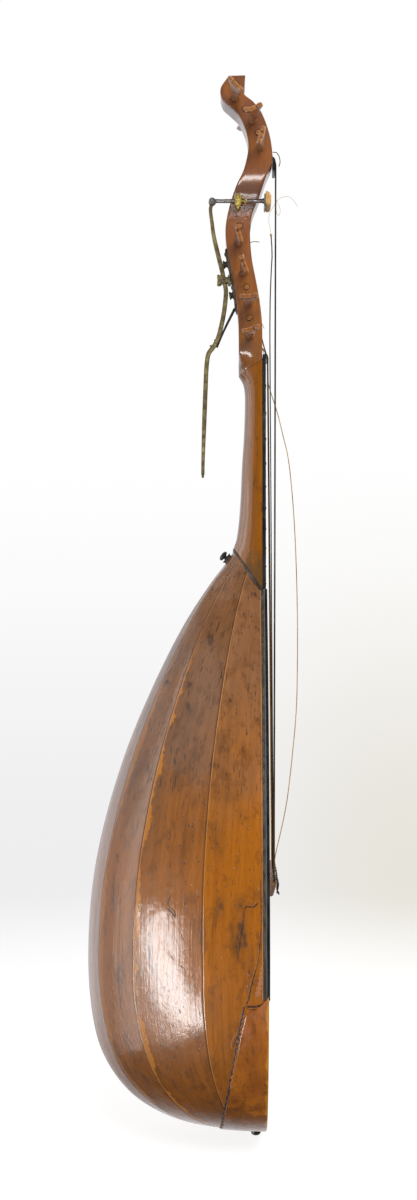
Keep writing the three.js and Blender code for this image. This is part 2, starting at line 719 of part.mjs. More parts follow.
// A broken diapason, knotted to a gut thread above the neck and held at the bridge.
add('tied_diapason', cordAlong([
  point(STRING_HEIGHT, -37, BRIDGE_TOP + 0.4), point(15.8, -33, 905), point(15.7, -31, 935),
  point(16.2, -29, 975), point(17.4, -27.5, 1005), point(18.4, -26, 1025), point(17.2, -25, 1046),
], 0.7), WOUND);

// A slack gut string that springs out in a long bow between the nut and the bridge.
const SLACK_ROUTE = [
  [14.2, -15.5, 906], [13.6, -15, 893], [14.4, -14.5, 876], [18.5, -14, 862], [25.1, -13, 842],
  [31.2, -12, 817], [37, -11, 793], [42.8, -9, 741], [46.3, -6, 683], [48.3, -4, 614], [48.6, -2, 567],
  [47.8, 0, 509], [46.1, 0, 480], [43.8, 0, 456], [40.2, 0, 421], [35.4, 0, 385], [28.3, 0, 351],
  [23.4, 0, 330], [20.4, 0, 312],
];
function slackGeometry() {
  const STEPS = 60;
  const curve = new THREE.CatmullRomCurve3(SLACK_ROUTE.map((p) => point(...p)), false, 'centripetal');
  return cordAlong(curve.getSpacedPoints(STEPS), 0.4);
}
add('slack_gut_string', slackGeometry(), GUT);

// ---------------------------------------------------------------- strap buttons
add('end_button', new THREE.LatheGeometry([
  [0, 0], [3, 0], [5.2, 1.6], [6, 4], [5, 6.2], [3.4, 8], [3.4, 12], [0, 12],
].map(([r, z]) => new THREE.Vector2(r, z)), 20).rotateX(Math.PI / 2), EBONY);

function heelKnobGeometry() {
  return new THREE.LatheGeometry([
    [0, 0], [6.5, 0], [6.5, 1.2], [2.4, 1.2], [2.4, 2.4], [5.2, 3.2], [6.1, 4.8], [4.8, 7], [2.6, 7.8],
    [0, 7.8],
  ].map(([r, y]) => new THREE.Vector2(r, y)), 20);
}
const KNOB_BASE = point(-34, 0, 674);
const KNOB_OUT = point(-0.82, 0, 0.572).normalize();
add('heel_knob', heelKnobGeometry(), EBONY, KNOB_BASE,
  new THREE.Quaternion().setFromUnitVectors(point(0, 1, 0), KNOB_OUT));

// ---------------------------------------------------------------- damper mechanism
// The plate screwed to the back of the pegbox, with its two tall screws.
function backPlateGeometry() {
  const THICK = 1.8;
  const stations = Array.from({ length: 9 }, (_, i) => 3.25 + i * 0.35);
  const plate = loft(stations.map((station) => {
    const p = backEdge.getPoint(station / PEGBOX_PAIRS);
    const x = p.x - GAP - 0.2;
    return [point(x, -22, p.z), point(x, -10, p.z), point(x - THICK, -10, p.z), point(x - THICK, -22, p.z)];
  }));
  const screws = [[-32.5, 1015, 5.5], [-25.8, 979, 5]].map(([x, z, tall]) => rod(
    point(x + 0.6, LEVER_PIVOT.y, z), point(x - tall, LEVER_PIVOT.y, z - 1), 3.4, 8));
  return joined(plate, ...screws);
}

const PIN = 1.4;
function pivotBracketGeometry() {
  const [bottom, top] = [990.5, 1001.5];
  const foot = plateXZ([[-32.6, bottom], [-28.8, bottom], [-31.3, top], [-32.6, top]], -23, -9);
  const ears = [box(-45, -31.5, -23, -20.4, bottom, top), box(-45, -31.5, -11.6, -9, bottom, top)];
  const hole = rod(LEVER_PIVOT.clone().setY(-40), LEVER_PIVOT.clone().setY(10), PIN + 0.3, 12);
  return cut(joined(foot, ...ears), hole);
}

// The lever's route, from the eye at the top to the thumb end beside the neck: (x, y, z).
const LEVER_ROUTE = [
  [EYE_X, -30.5, ROD_Z - 1], [-52.6, -30.3, 1076], [-50.9, -28, 1060], [-49, -24, 1046], [-43.4, -18, 1023],
  [-38.9, -16, 1005], [LEVER_PIVOT.x, -16, LEVER_PIVOT.z], [-35, -16, 985], [-35.6, -16, 972],
  [-37.4, -16, 958], [-40.6, -16, 942], [-44.2, -16, 929], [-48.4, -16, 920.5], [-54.9, -16, 911.5],
  [-57, -16, 901], [-58.7, -16, 869], [-60.1, -16, 831], [-61.4, -16, 792], [-61.8, -16, 767],
];

function leverGeometry() {
  const path = LEVER_ROUTE.map((p) => point(...p));
  const thick = (i) => (i < 2 ? 4 : i > path.length - 3 ? 3.6 : 5);
  const bar = flatBar(path, thick, 4.2);
  const eye = rod(point(EYE_X, -32.7, ROD_Z), point(EYE_X, -28.3, ROD_Z), 4, 16);
  const boss = rod(LEVER_PIVOT.clone().setY(-20), LEVER_PIVOT.clone().setY(-12), 3.4, 12);
  const eyeHole = rod(point(EYE_X, -50, ROD_Z), point(EYE_X, -10, ROD_Z), 2.6, 12);
  const pivotHole = rod(LEVER_PIVOT.clone().setY(-50), LEVER_PIVOT.clone().setY(10), PIN + 0.3, 12);
  return cut(joined(bar, eye, boss), eyeHole, pivotHole);
}

function leafSpringGeometry() {
  const path = [
    point(-24.8, -16, 963.5), point(-29.6, -16, 953.5), point(-34.3, -16, 943.5), point(-38.6, -16, 933.5),
    point(-41.6, -16, 925.3), point(-44.6, -16, 918.6),
  ].map((p) => p.add(point(-0.7, 0, -0.3)));
  return flatBar(path, () => 1.3, 4);
}

function pushRodGeometry() {
  const RADIUS = 2.6;
  const bar = rod(point(EYE_X, ROD_Y, ROD_Z), point(10, ROD_Y, ROD_Z), RADIUS, 12);
  const knuckle = rod(point(EYE_X, -38.8, ROD_Z), point(EYE_X, -33.3, ROD_Z), 3.6, 16);
  const pin = rod(point(EYE_X, -34, ROD_Z), point(EYE_X, -27.6, ROD_Z), 1, 8);
  const plate = box(9.2, 10.5, -41, -3, 1077.5, 1091);
  return joined(bar, knuckle, pin, plate);
}

function padGeometry() {
  const outline = [
    [10.8, 1079.6], [12, 1078.2], [15.4, 1078.2], [17, 1080.4], [17, 1088.5], [14.6, 1093.2],
    [12, 1093.8], [10.8, 1092.4],
  ];
  return plateXZ(outline, -41.5, -2.5);
}

function guideGeometry() {
  const outline = [
    [-20.8, 1073], [-16.6, 1079], [-16.2, 1085.5], [-17.6, 1089.4], [-20.8, 1090.6], [-24, 1089.4],
    [-25.4, 1085.5], [-25, 1079],
  ];
  const block = plateXZ(outline, -41.6, -29.4);
  return cut(block, rod(point(-40, ROD_Y, ROD_Z), point(0, ROD_Y, ROD_Z), 3, 12));
}

add('back_plate', backPlateGeometry(), DARK_STEEL);
add('pivot_bracket', pivotBracketGeometry(), DULL_BRASS);
add('pivot_pin', rod(LEVER_PIVOT.clone().setY(-23.6), LEVER_PIVOT.clone().setY(-8.4), PIN, 12), STEEL);
add('thumb_lever', leverGeometry(), DULL_BRASS);
add('leaf_spring', leafSpringGeometry(), DARK_STEEL);
add('push_rod', pushRodGeometry(), STEEL);
add('damper_pad', padGeometry(), PAD_LEATHER);
add('rod_guide', guideGeometry(), BRASS);

export default lute;
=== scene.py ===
# A swan-necked lute with a leaning upper pegbox for free bass strings and a thumb-worked damper.
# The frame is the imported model. Every piece is built here in its place, in the same axes:
# +Z up the neck, +X out of the soundboard, -Y towards the bass side.
import math

import bmesh
import bpy
import numpy as np
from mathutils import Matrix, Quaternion, Vector


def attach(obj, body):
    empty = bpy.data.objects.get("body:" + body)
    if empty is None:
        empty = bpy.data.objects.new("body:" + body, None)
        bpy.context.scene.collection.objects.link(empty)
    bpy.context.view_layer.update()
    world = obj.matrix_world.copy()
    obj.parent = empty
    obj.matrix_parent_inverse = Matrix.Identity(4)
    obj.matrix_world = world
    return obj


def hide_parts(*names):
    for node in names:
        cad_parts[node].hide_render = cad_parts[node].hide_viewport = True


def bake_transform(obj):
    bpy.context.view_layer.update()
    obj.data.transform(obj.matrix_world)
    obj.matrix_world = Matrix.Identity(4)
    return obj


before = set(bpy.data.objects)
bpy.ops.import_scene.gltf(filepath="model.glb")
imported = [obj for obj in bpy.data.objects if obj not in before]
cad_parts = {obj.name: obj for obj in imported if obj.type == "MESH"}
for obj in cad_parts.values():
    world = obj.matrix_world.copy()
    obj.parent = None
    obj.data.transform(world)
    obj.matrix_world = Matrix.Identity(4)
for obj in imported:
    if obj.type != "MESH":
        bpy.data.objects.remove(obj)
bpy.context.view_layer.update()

# Lengths below are in millimetres, and MM takes them to Blender's metres.
MM = 0.001

# ---------------------------------------------------------------- driving dimensions
BOARD_FACE = 11.5
BOARD_THICK = 2.0
TAIL = 14.0
WIDEST = 228.0
HALF_WIDTH = 195.0
RIB_THICK = 2.0
RIB_EDGE = 2.4
RIB_FLATNESS = 0.45             # how far each rib lies towards the flat between its two seams
JOINT_FRONT = 632.0
JOINT_SLOPE = 1.425
STRIP_RISE = 3.6
NECK_TOP = 902.4
NECK_TOP_SLOPE = 0.6
NECK_FACE = 7.0
BOARD_END = 638.5
FINGERBOARD_FACE = 11.3
NUT_BOTTOM = 904.9
NUT_TOP = 909.3
NUT_FACE = 13.4
NUT_HALF = 26.0
ROSE_CENTRE = 410.0
ROSE_RADIUS = 45.0
BRIDGE_BOTTOM = 291.5
BRIDGE_TOP = 310.0
BRIDGE_HALF = 80.0
BRIDGE_HEIGHT = 12.0
STRING_HEIGHT = 19.6
CHEEK = 5.0
PEG_HOLE = 3.9
PEG_SHAFT = 3.5
UPPER_NUT_FACE = 22.2
LEVER_Y = -16.0
LEVER_PIVOT = (-37.2, LEVER_Y, 995.4)
EYE_X = -50.7
EYE_Y = -30.5                   # the eye at the lever's top stands a little aside of its rod
ROD_Y = -36.0
ROD_Z = 1083.5
FORK_SIDES = (-23.0, -9.0)      # the fork's two ears end here, along Y
GUIDE_X = -20.8
PAD_BACK = 10.7
BINDING_BOTTOM = 203.5
BINDING_TOP = 637.9
CLASP_TOP = 200.0
NECK_HALF_TOP = 25.6
NECK_HALF_FOOT = 37.0
PEGBOX_FOOT = 896.0
PEGBOX_END = 1228.0
PEGBOX_HALF_FOOT = 24.5
PEGBOX_HALF_END = 20.0
PEGBOX_LEAN = 14.0              # how far the upper pegbox leans over to the bass side
STRING_LENGTH = 599.0           # open length of the fretted strings, which sets the frets
FRETS = 10


# ---------------------------------------------------------------- curves
def curve_at(points, shares, centripetal=True):
    """Points of a smooth open curve through the given points, at shares 0 to 1 of its spans."""
    points = np.asarray(points, float)
    last = len(points) - 1
    padded = np.vstack([2 * points[0] - points[1], points, 2 * points[-1] - points[-2]])
    place = np.clip(np.atleast_1d(np.asarray(shares, float)), 0, 1) * last
    span = np.minimum(place.astype(int), last - 1)
    u = (place - span)[:, None]
    p0, p1, p2, p3 = (padded[span + k] for k in range(4))
    if centripetal:
        d0, d1, d2 = (
            np.maximum(np.linalg.norm(b - a, axis=1), 1e-9)[:, None] ** 0.5
            for a, b in ((p0, p1), (p1, p2), (p2, p3))
        )
        m1 = ((p1 - p0) / d0 - (p2 - p0) / (d0 + d1) + (p2 - p1) / d1) * d1
        m2 = ((p2 - p1) / d1 - (p3 - p1) / (d1 + d2) + (p3 - p2) / d2) * d1
    else:
        m1 = (p2 - p0) / 2
        m2 = (p3 - p1) / 2
    return (p1 + m1 * u + (3 * p2 - 3 * p1 - 2 * m1 - m2) * u ** 2
            + (2 * p1 - 2 * p2 + m1 + m2) * u ** 3)


def even_points(points, count, centripetal=True):
    """count points, evenly spaced by length, on the smooth curve through points."""
    fine = curve_at(points, np.linspace(0, 1, 40 * len(points)), centripetal)
    along = np.concatenate([[0], np.cumsum(np.linalg.norm(np.diff(fine, axis=0), axis=1))])
    at = np.linspace(0, along[-1], count)
    return np.stack([np.interp(at, along, fine[:, k]) for k in range(fine.shape[1])], axis=1)


def smooth(knots):
    """A smooth height function through (place, value) knots in rising order."""
    at, value = np.array(knots, float).T
    count = len(at)
    low = np.maximum(np.arange(count) - 1, 0)
    high = np.minimum(np.arange(count) + 1, count - 1)
    slope = (value[high] - value[low]) / (at[high] - at[low])

    def height(z):
        i = np.clip(np.searchsorted(at, z, side="right") - 1, 0, count - 2)
        span = at[i + 1] - at[i]
        t = (z - at[i]) / span
        return (value[i] * (1 + 2 * t) * (1 - t) ** 2 + slope[i] * span * t * (1 - t) ** 2
                + value[i + 1] * t * t * (3 - 2 * t) + slope[i + 1] * span * t * t * (t - 1))
    return height


def smoothstep(value, low, high):
    t = np.clip((np.asarray(value, float) - low) / (high - low), 0, 1)
    return t * t * (3 - 2 * t)


def waves(*phases):
    """A cheap repeatable ripple from -1 to 1, for hand-made unevenness."""
    total = 0
    for k, phase in enumerate(phases):
        total = total + np.sin(phase * (1 + 0.37 * k) + 1.7 * k)
    return total / len(phases)


# ---------------------------------------------------------------- meshes
def finish_mesh(name, vertices, faces, sharp):
    """A mesh in metres from points in millimetres, smooth but for edges over `sharp` degrees."""
    mesh = bpy.data.meshes.new(name)
    mesh.from_pydata([Vector(v) * MM for v in np.asarray(vertices, float)], [], faces)
    cleaned = bmesh.new()
    cleaned.from_mesh(mesh)
    bmesh.ops.recalc_face_normals(cleaned, faces=cleaned.faces)
    cleaned.to_mesh(mesh)
    cleaned.free()
    mesh.shade_smooth()
    mesh.set_sharp_from_angle(angle=math.radians(sharp))
    return mesh


def declare(piece, slot, body, replaces, blend=None):
    """Says what a piece rides on and what it stands for; slot is not used."""
    bpy.context.scene.collection.objects.link(piece)
    if blend:
        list(blend)
        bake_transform(piece)
    else:
        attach(piece, body)
    if replaces:
        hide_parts(*replaces)


def add_mesh(name, vertices, faces, material, slot, body="instrument", replaces=(), sharp=35,
             bevel=0.0, attributes=None, blend=None):
    mesh = finish_mesh(name, vertices, faces, sharp)
    for attribute, values in (attributes or {}).items():
        kind = "FLOAT_VECTOR" if values.ndim == 2 else "FLOAT"
        layer = mesh.attributes.new(attribute, kind, "POINT")
        layer.data.foreach_set("vector" if values.ndim == 2 else "value",
                               values.astype(np.float32).ravel())
    piece = bpy.data.objects.new(name, mesh)
    mesh.materials.append(material)
    if bevel:
        edge = piece.modifiers.new("worn_edges", "BEVEL")
        edge.width = bevel * MM
        edge.segments = 3
        edge.limit_method = "ANGLE"
        edge.angle_limit = math.radians(32)
    declare(piece, slot, body, replaces, blend)
    return piece


def add_curve(name, points, radius, material, slot, body="instrument", replaces=()):
    """Makes a round string or wire as a curve of one open spline."""
    data = bpy.data.curves.new(name, "CURVE")
    data.dimensions = "3D"
    data.bevel_depth = radius * MM
    data.bevel_resolution = 3
    data.use_fill_caps = True
    spline = data.splines.new("POLY")
    spline.points.add(len(points) - 1)
    for place, point in zip(spline.points, points):
        place.co = (*(Vector(point) * MM), 1)
    data.materials.append(material)
    piece = bpy.data.objects.new(name, data)
    declare(piece, slot, body, replaces)
    return piece


def tube_faces(rows, count):
    """The side faces between rows of rings, each ring with count points."""
    faces = []
    for r in range(rows - 1):
        for k in range(count):
            after = (k + 1) % count
            faces.append((r * count + k, r * count + after,
                          (r + 1) * count + after, (r + 1) * count + k))
    return faces


def loft(rings):
    """A closed skin over rings of equal count, with a flat cap on each end."""
    rings = np.asarray(rings, float)
    rows, count = rings.shape[:2]
    faces = tube_faces(rows, count)
    faces.append(tuple(range(count)))
    faces.append(tuple((rows - 1) * count + k for k in reversed(range(count))))
    return rings.reshape(-1, 3), faces


def shell(outer, inner):
    """A closed thin shell between two grids of points with the same rows and columns."""
    rings = np.concatenate([outer, inner[:, ::-1]], axis=1)
    rows, count = rings.shape[:2]
    columns = count // 2
    faces = tube_faces(rows, count)
    for first in (0, (rows - 1) * count):
        for k in range(columns - 1):
            faces.append((first + k, first + k + 1,
                          first + count - 2 - k, first + count - 1 - k))
    return rings.reshape(-1, 3), faces


def merged(*meshes):
    """Several closed skins as the parts of one piece."""
    vertices = []
    faces = []
    for points, polygons in meshes:
        start = sum(len(v) for v in vertices)
        vertices.append(np.asarray(points, float))
        faces += [tuple(start + i for i in polygon) for polygon in polygons]
    return np.concatenate(vertices), faces


def lathe(profile, origin=(0, 0, 0), axis=(0, 0, 1), segments=40):
    """Turns (radius, height) points about an axis from origin."""
    origin, axis = Vector(origin), Vector(axis).normalized()
    side = axis.orthogonal().normalized()
    other = axis.cross(side)
    rings = []
    for radius, height in profile:
        ring = []
        for k in range(segments):
            turn = 2 * math.pi * k / segments
            ring.append(origin + axis * height
                        + (side * math.cos(turn) + other * math.sin(turn)) * max(radius, 0.02))
        rings.append([tuple(p) for p in ring])
    return loft(rings)


def torus(centre, axis, radius, thick, segments=28, sides=10):
    """A closed ring of round wire."""
    centre, axis = Vector(centre), Vector(axis).normalized()
    side = axis.orthogonal().normalized()
    other = axis.cross(side)
    vertices = []
    faces = []
    for k in range(segments):
        turn = 2 * math.pi * k / segments
        out = side * math.cos(turn) + other * math.sin(turn)
        for j in range(sides):
            around = 2 * math.pi * j / sides
            vertices.append(tuple(centre + out * (radius + thick * math.cos(around))
                                  + axis * thick * math.sin(around)))
            after, above = (j + 1) % sides, (k + 1) % segments
            faces.append((k * sides + j, above * sides + j,
                          above * sides + after, k * sides + after))
    return np.array(vertices), faces


def rounded_section(wide, thick, corner, steps=3, flats=1):
    """A rounded rectangle about the origin, as (across, out) points, its flats in flats pieces."""
    points = []
    signs = ((1, 1, 0), (-1, 1, 90), (-1, -1, 180), (1, -1, 270))
    for i, (sx, sy, start) in enumerate(signs):
        for turn in np.radians(np.linspace(start, start + 90, steps + 1)):
            points.append((sx * (wide / 2 - corner) + corner * math.cos(turn),
                           sy * (thick / 2 - corner) + corner * math.sin(turn)))
        tx, ty, turn = signs[(i + 1) % 4]
        turn = math.radians(turn)
        ahead = (tx * (wide / 2 - corner) + corner * math.cos(turn),
                 ty * (thick / 2 - corner) + corner * math.sin(turn))
        here = points[-1]
        points += [(here[0] + (ahead[0] - here[0]) * k / flats,
                    here[1] + (ahead[1] - here[1]) * k / flats) for k in range(1, flats)]
    return points


def bar_along(path, section_at):
    """A bar along a path: section points go across Y and out, square to the path and Y."""
    path = np.asarray(path, float)
    ahead = np.vstack([path[1:], path[-1:]])
    behind = np.vstack([path[:1], path[:-1]])
    rings = []
    for i, (p, along) in enumerate(zip(path, ahead - behind)):
        along = np.array([along[0], 0, along[2]])
        along /= np.linalg.norm(along)
        out = np.array([along[2], 0, -along[0]])
        rings.append([p + np.array([0, 1, 0]) * a + out * b
                      for a, b in section_at(i / (len(path) - 1))])
    return loft(rings)


def plate_xz(outline, y0, y1):
    """A flat outline of (x, z) points with thickness along Y."""
    return loft([[(x, y, z) for x, z in outline] for y in (y0, y1)])


def arc_points(x, z, radius, start, end, count):
    """Points on part of a circle in the X-Z plane, angles in degrees."""
    turns = np.radians(np.linspace(start, end, count))
    return [(x + radius * math.cos(t), z + radius * math.sin(t)) for t in turns]


# ---------------------------------------------------------------- materials
def tone(red, green, blue):
    """A screen colour, 0 to 255, as the linear colour that shaders take."""
    def linear(value):
        value /= 255
        return value / 12.92 if value <= 0.04045 else ((value + 0.055) / 1.055) ** 2.4
    return (linear(red), linear(green), linear(blue), 1)


def add_node(tree, kind, inputs, **settings):
    """Adds a node; each input takes either a value or another node's output."""
    made = tree.nodes.new(kind)
    for setting, value in settings.items():
        setattr(made, setting, value)
    for socket, value in inputs.items():
        if isinstance(value, bpy.types.NodeSocket):
            tree.links.new(value, made.inputs[socket])
        else:
            made.inputs[socket].default_value = value
    return made


class Shader:
    """A material's node tree, written as a few short calls."""

    def __init__(self, name, settings):
        self.material = bpy.data.materials.new(name)
        self.material.use_nodes = True
        self.tree = self.material.node_tree
        self.surface = self.tree.nodes["Principled BSDF"]
        for socket, value in settings.items():
            self.surface.inputs[socket].default_value = value

    def node(self, kind, inputs, **settings):
        return add_node(self.tree, kind, inputs, **settings)

    def place(self):
        return self.node("ShaderNodeTexCoord", {}).outputs["Object"]

    def attribute(self, name, output="Fac"):
        return self.node("ShaderNodeAttribute", {}, attribute_name=name).outputs[output]

    def split(self, vector):
        return self.node("ShaderNodeSeparateXYZ", {0: vector}).outputs

    def noise(self, vector, size, detail=4.0, roughness=0.55):
        """Noise with size features to the metre, or a size for each axis to stretch it."""
        if isinstance(size, tuple):
            vector = self.node("ShaderNodeVectorMath", {0: vector, 1: size},
                               operation="MULTIPLY").outputs[0]
            size = 1.0
        made = self.node("ShaderNodeTexNoise", {
            "Vector": vector, "Scale": size, "Detail": detail, "Roughness": roughness})
        return made.outputs[0]

    def wave(self, vector, scale, distortion, direction):
        made = self.node("ShaderNodeTexWave", {
            "Vector": vector, "Scale": scale, "Distortion": distortion, "Detail": 3.0},
            bands_direction=direction)
        return made.outputs["Fac"]

    def calc(self, operation, a, b=0.0):
        return self.node("ShaderNodeMath", {0: a, 1: b}, operation=operation).outputs[0]

    def times(self, a, b):
        return self.calc("MULTIPLY", a, b)

    def spread(self, value, low, high, to_low=0.0, to_high=1.0):
        made = self.node("ShaderNodeMapRange", {
            0: value, 1: low, 2: high, 3: to_low, 4: to_high}, interpolation_type="SMOOTHSTEP")
        return made.outputs[0]

    def mix(self, share, a, b, blend="MIX"):
        """Mixes two colours, each a node's output or a screen colour of 0 to 255."""
        a, b = (tone(*colour) if isinstance(colour, tuple) else colour for colour in (a, b))
        made = self.node("ShaderNodeMix", {0: share, 6: a, 7: b}, data_type="RGBA",
                         blend_type=blend)
        return made.outputs[2]

    def paint(self, share, colour):
        """Lays a share of another colour over what is there."""
        self.colour = self.mix(share, self.colour, colour)

    def tint(self, value, low, high, share, colour):
        """Lays a colour over what is there, more of it as value goes from low to high."""
        self.paint(self.spread(value, low, high, 0.0, share), colour)

    def shade(self, value, low, high):
        """Darkens or lightens what is there as value goes from 0 to 1."""
        factor = self.spread(value, 0.25, 0.75, low, high)
        grey = self.node("ShaderNodeCombineColor", {0: factor, 1: factor, 2: factor}).outputs[0]
        self.colour = self.mix(1.0, self.colour, grey, "MULTIPLY")

    def bump(self, *layers):
        """Raises the surface by each layer of (height, depth in millimetres) in turn."""
        normal = None
        for height, depth in layers:
            inputs = {"Height": height, "Distance": depth * MM, "Strength": 1.0}
            if normal is not None:
                inputs["Normal"] = normal
            normal = self.node("ShaderNodeBump", inputs).outputs[0]
        return normal

    def finish(self, roughness, normal):
        surface = {"Base Color": self.colour, "Roughness": roughness, "Normal": normal,
                   "Coat Normal": normal}
        for socket, value in surface.items():
            self.tree.links.new(value, self.surface.inputs[socket])
        return self.material


def rib_material():
    """Aged varnish over plain maple: golden low down, browner and duller towards the neck."""
    s = Shader("varnished_ribs", {"Specular IOR Level": 0.35, "Coat Weight": 0.9,
                                  "Coat Roughness": 0.09, "Coat IOR": 1.5})
    grain = s.attribute("grain", "Vector")
    low_seam, high_seam, stain = s.split(s.attribute("edges", "Vector"))
    place = s.place()
    height = s.split(place)[2]

    drift = s.noise(place, 5, 4)
    level = s.calc("ADD", height, s.spread(drift, 0.3, 0.7, -0.06, 0.06))
    s.colour = s.mix(s.spread(level, 0.34, 0.50), (172, 98, 0), (144, 97, 60))
    gold = s.noise(place, (15.3, 15.3, 6.8), 4)
    gold = s.times(s.spread(gold, 0.50, 0.66), s.spread(level, 0.54, 0.44))
    s.paint(s.times(gold, 0.5), (190, 108, 0))
    s.tint(level, 0.14, 0.02, 0.45, (112, 60, 0))
    clouds = s.noise(place, (16, 16, 6), 6, 0.65)
    s.tint(clouds, 0.50, 0.68, 0.55, (102, 58, 14))
    mottle = s.noise(place, (60, 60, 34), 6, 0.7)
    s.tint(mottle, 0.53, 0.62, 0.38, (90, 52, 18))

    # Darker per rib: partly the wood's own tone, partly painted shade on the ribs that turn away from
    # the light.
    s.paint(s.attribute("darker"), (104, 60, 8))

    streak = s.noise(grain, (190, 6.5, 40), 5, 0.6)
    s.shade(streak, 0.86, 1.10)
    fibre = s.noise(grain, (900, 60, 40), 5, 0.75)
    s.shade(fibre, 0.84, 1.13)
    dash = s.noise(grain, (520, 60, 40), 3, 0.6)
    duller = s.spread(level, 0.30, 0.50, 0.25, 0.85)
    dash = s.times(s.spread(dash, 0.61, 0.66), duller)
    s.paint(dash, (58, 38, 26))

    ragged = s.noise(grain, (150, 62, 40), 7, 0.75)
    ragged = s.calc("ADD", ragged, s.times(stain, 0.42))
    smudge = s.spread(ragged, 0.72, 0.84)
    s.paint(s.times(smudge, 0.78), (50, 36, 32))
    s.paint(s.times(stain, 0.62), (100, 62, 28))
    pits = s.noise(grain, (260, 110, 40), 3, 0.6)
    cluster = s.spread(s.noise(place, (8, 8, 6), 3), 0.44, 0.60)
    speck = s.times(s.spread(pits, 0.64, 0.70), cluster)
    s.paint(s.times(speck, 0.8), (46, 32, 26))

    chip = s.noise(grain, (20, 22, 40), 6, 0.7)
    reach = s.spread(chip, 0.38, 0.62, 0.0016, 0.0100)
    worn = s.spread(s.calc("SUBTRACT", high_seam, reach), -0.0008, 0.0004, 0.85, 0)
    s.paint(s.times(worn, s.attribute("wear")), (204, 126, 16))
    # Pale line along each rib's high seam: partly worn varnish, partly a painted highlight on the rib's
    # edge.
    line = s.spread(high_seam, 0.0006, 0.0015, 1, 0)
    line = s.times(line, s.spread(chip, 0.35, 0.6, 0.45, 0.85))
    s.paint(line, (206, 146, 88))
    # Painted shadow along each rib's low seam, and painted shade in the groove between ribs.
    s.tint(low_seam, 0.0020, 0.0006, 0.55, (84, 48, 22))
    groove = s.calc("MINIMUM", low_seam, high_seam)
    s.tint(groove, 0.0004, 0.0001, 0.8, (52, 30, 16))

    roughness = s.spread(streak, 0.25, 0.75, 0.34, 0.48)
    roughness = s.calc("ADD", roughness, s.times(smudge, 0.2))
    roughness = s.calc("ADD", roughness, s.spread(level, 0.35, 0.62, 0, 0.14))
    ripple = s.noise(grain, (330, 5, 40), 4, 0.6)
    normal = s.bump((ripple, 0.17), (fibre, 0.075), (s.noise(place, 30, 4), 0.9), (speck, -0.25))
    return s.finish(roughness, normal)


def neck_material(name):
    """One varnished wood from the neck up through the pegbox, golden below and brown above."""
    s = Shader(name, {"Specular IOR Level": 0.25, "Coat Weight": 0.75, "Coat Roughness": 0.09,
                      "Coat IOR": 1.45})
    place = s.place()
    height = s.split(place)[2]
    drift = s.noise(place, (18, 18, 9), 4, 0.6)
    level = s.calc("ADD", height, s.spread(drift, 0.3, 0.7, -0.035, 0.035))
    s.colour = s.mix(s.spread(level, 0.85, 0.93), (142, 82, 0), (134, 78, 22))
    s.paint(s.spread(level, 0.94, 1.02), (132, 76, 34))
    s.paint(s.spread(level, 1.13, 1.17), (122, 72, 42))
    golden = s.noise(place, (30, 30, 16), 5, 0.65)
    s.tint(golden, 0.52, 0.66, 0.5, (158, 92, 8))
    shadow = s.noise(place, (74.8, 74.8, 34), 5, 0.65)
    s.tint(shadow, 0.53, 0.68, 0.6, (84, 46, 24))
    streak = s.noise(place, (260, 260, 12), 5, 0.62)
    s.shade(streak, 0.84, 1.12)
    fibre = s.noise(place, (1300, 1300, 60), 4, 0.7)
    s.shade(fibre, 0.88, 1.08)
    blot = s.noise(place, (110, 110, 60), 6, 0.7)
    s.tint(blot, 0.64, 0.72, 0.6, (52, 34, 24))
    # Painted shade: a dark band across the swan neck just below its bright band, where the cheek tilts
    # away from the light.
    painted_dark_band = s.times(s.spread(height, 1.084, 1.092), s.spread(height, 1.110, 1.102))
    s.paint(s.times(painted_dark_band, 0.55), (72, 38, 24))
    low_dirt = s.times(s.spread(level, 0.70, 0.655), s.spread(golden, 0.34, 0.5))
    s.paint(s.times(low_dirt, 0.75), (92, 70, 38))
    rough = s.spread(streak, 0.25, 0.75, 0.34, 0.46)
    rubbed = s.times(s.spread(height, 1.050, 1.062), s.spread(height, 1.096, 1.086))
    uneven = s.times(s.noise(place, 120, 5, 0.65), rubbed)
    normal = s.bump((streak, 0.07), (fibre, 0.025), (s.noise(place, 60, 4), 0.07), (uneven, 0.9))
    return s.finish(rough, normal)


def peg_material():
    """Turned pegs in the same brown wood, pale along their edges, partly polished by handling and
    partly a painted highlight, with painted shade in the collar's hollows.
    """
    s = Shader("pegs_worn_and_highlit", {"Specular IOR Level": 0.3, "Coat Weight": 0.35,
                                "Coat Roughness": 0.14, "Coat IOR": 1.45})
    place = s.place()
    edge = s.attribute("worn")
    height = s.split(place)[2]
    clouds = s.noise(place, 90, 5, 0.6)
    low = s.mix(s.spread(clouds, 0.36, 0.64), (126, 70, 28), (144, 84, 34))
    high = s.mix(s.spread(clouds, 0.36, 0.64), (136, 82, 40), (168, 108, 54))
    s.colour = s.mix(s.spread(height, 1.08, 1.12), low, high)
    streak = s.noise(place, (420, 60, 420), 4, 0.6)
    s.shade(streak, 0.84, 1.10)
    patchy = s.spread(s.noise(place, 240, 3), 0.34, 0.6, 0.35, 1)
    # Pale edges: partly polished by handling, partly a painted highlight on the rims and rings.
    s.paint(s.times(s.times(edge, patchy), 0.32), (222, 172, 122))
    # Painted shade in the collar's hollows, where the edge paint is below zero.
    s.tint(edge, -0.4, -1, 0.6, (60, 34, 20))
    return s.finish(s.spread(clouds, 0.3, 0.7, 0.24, 0.38), s.bump((streak, 0.06)))


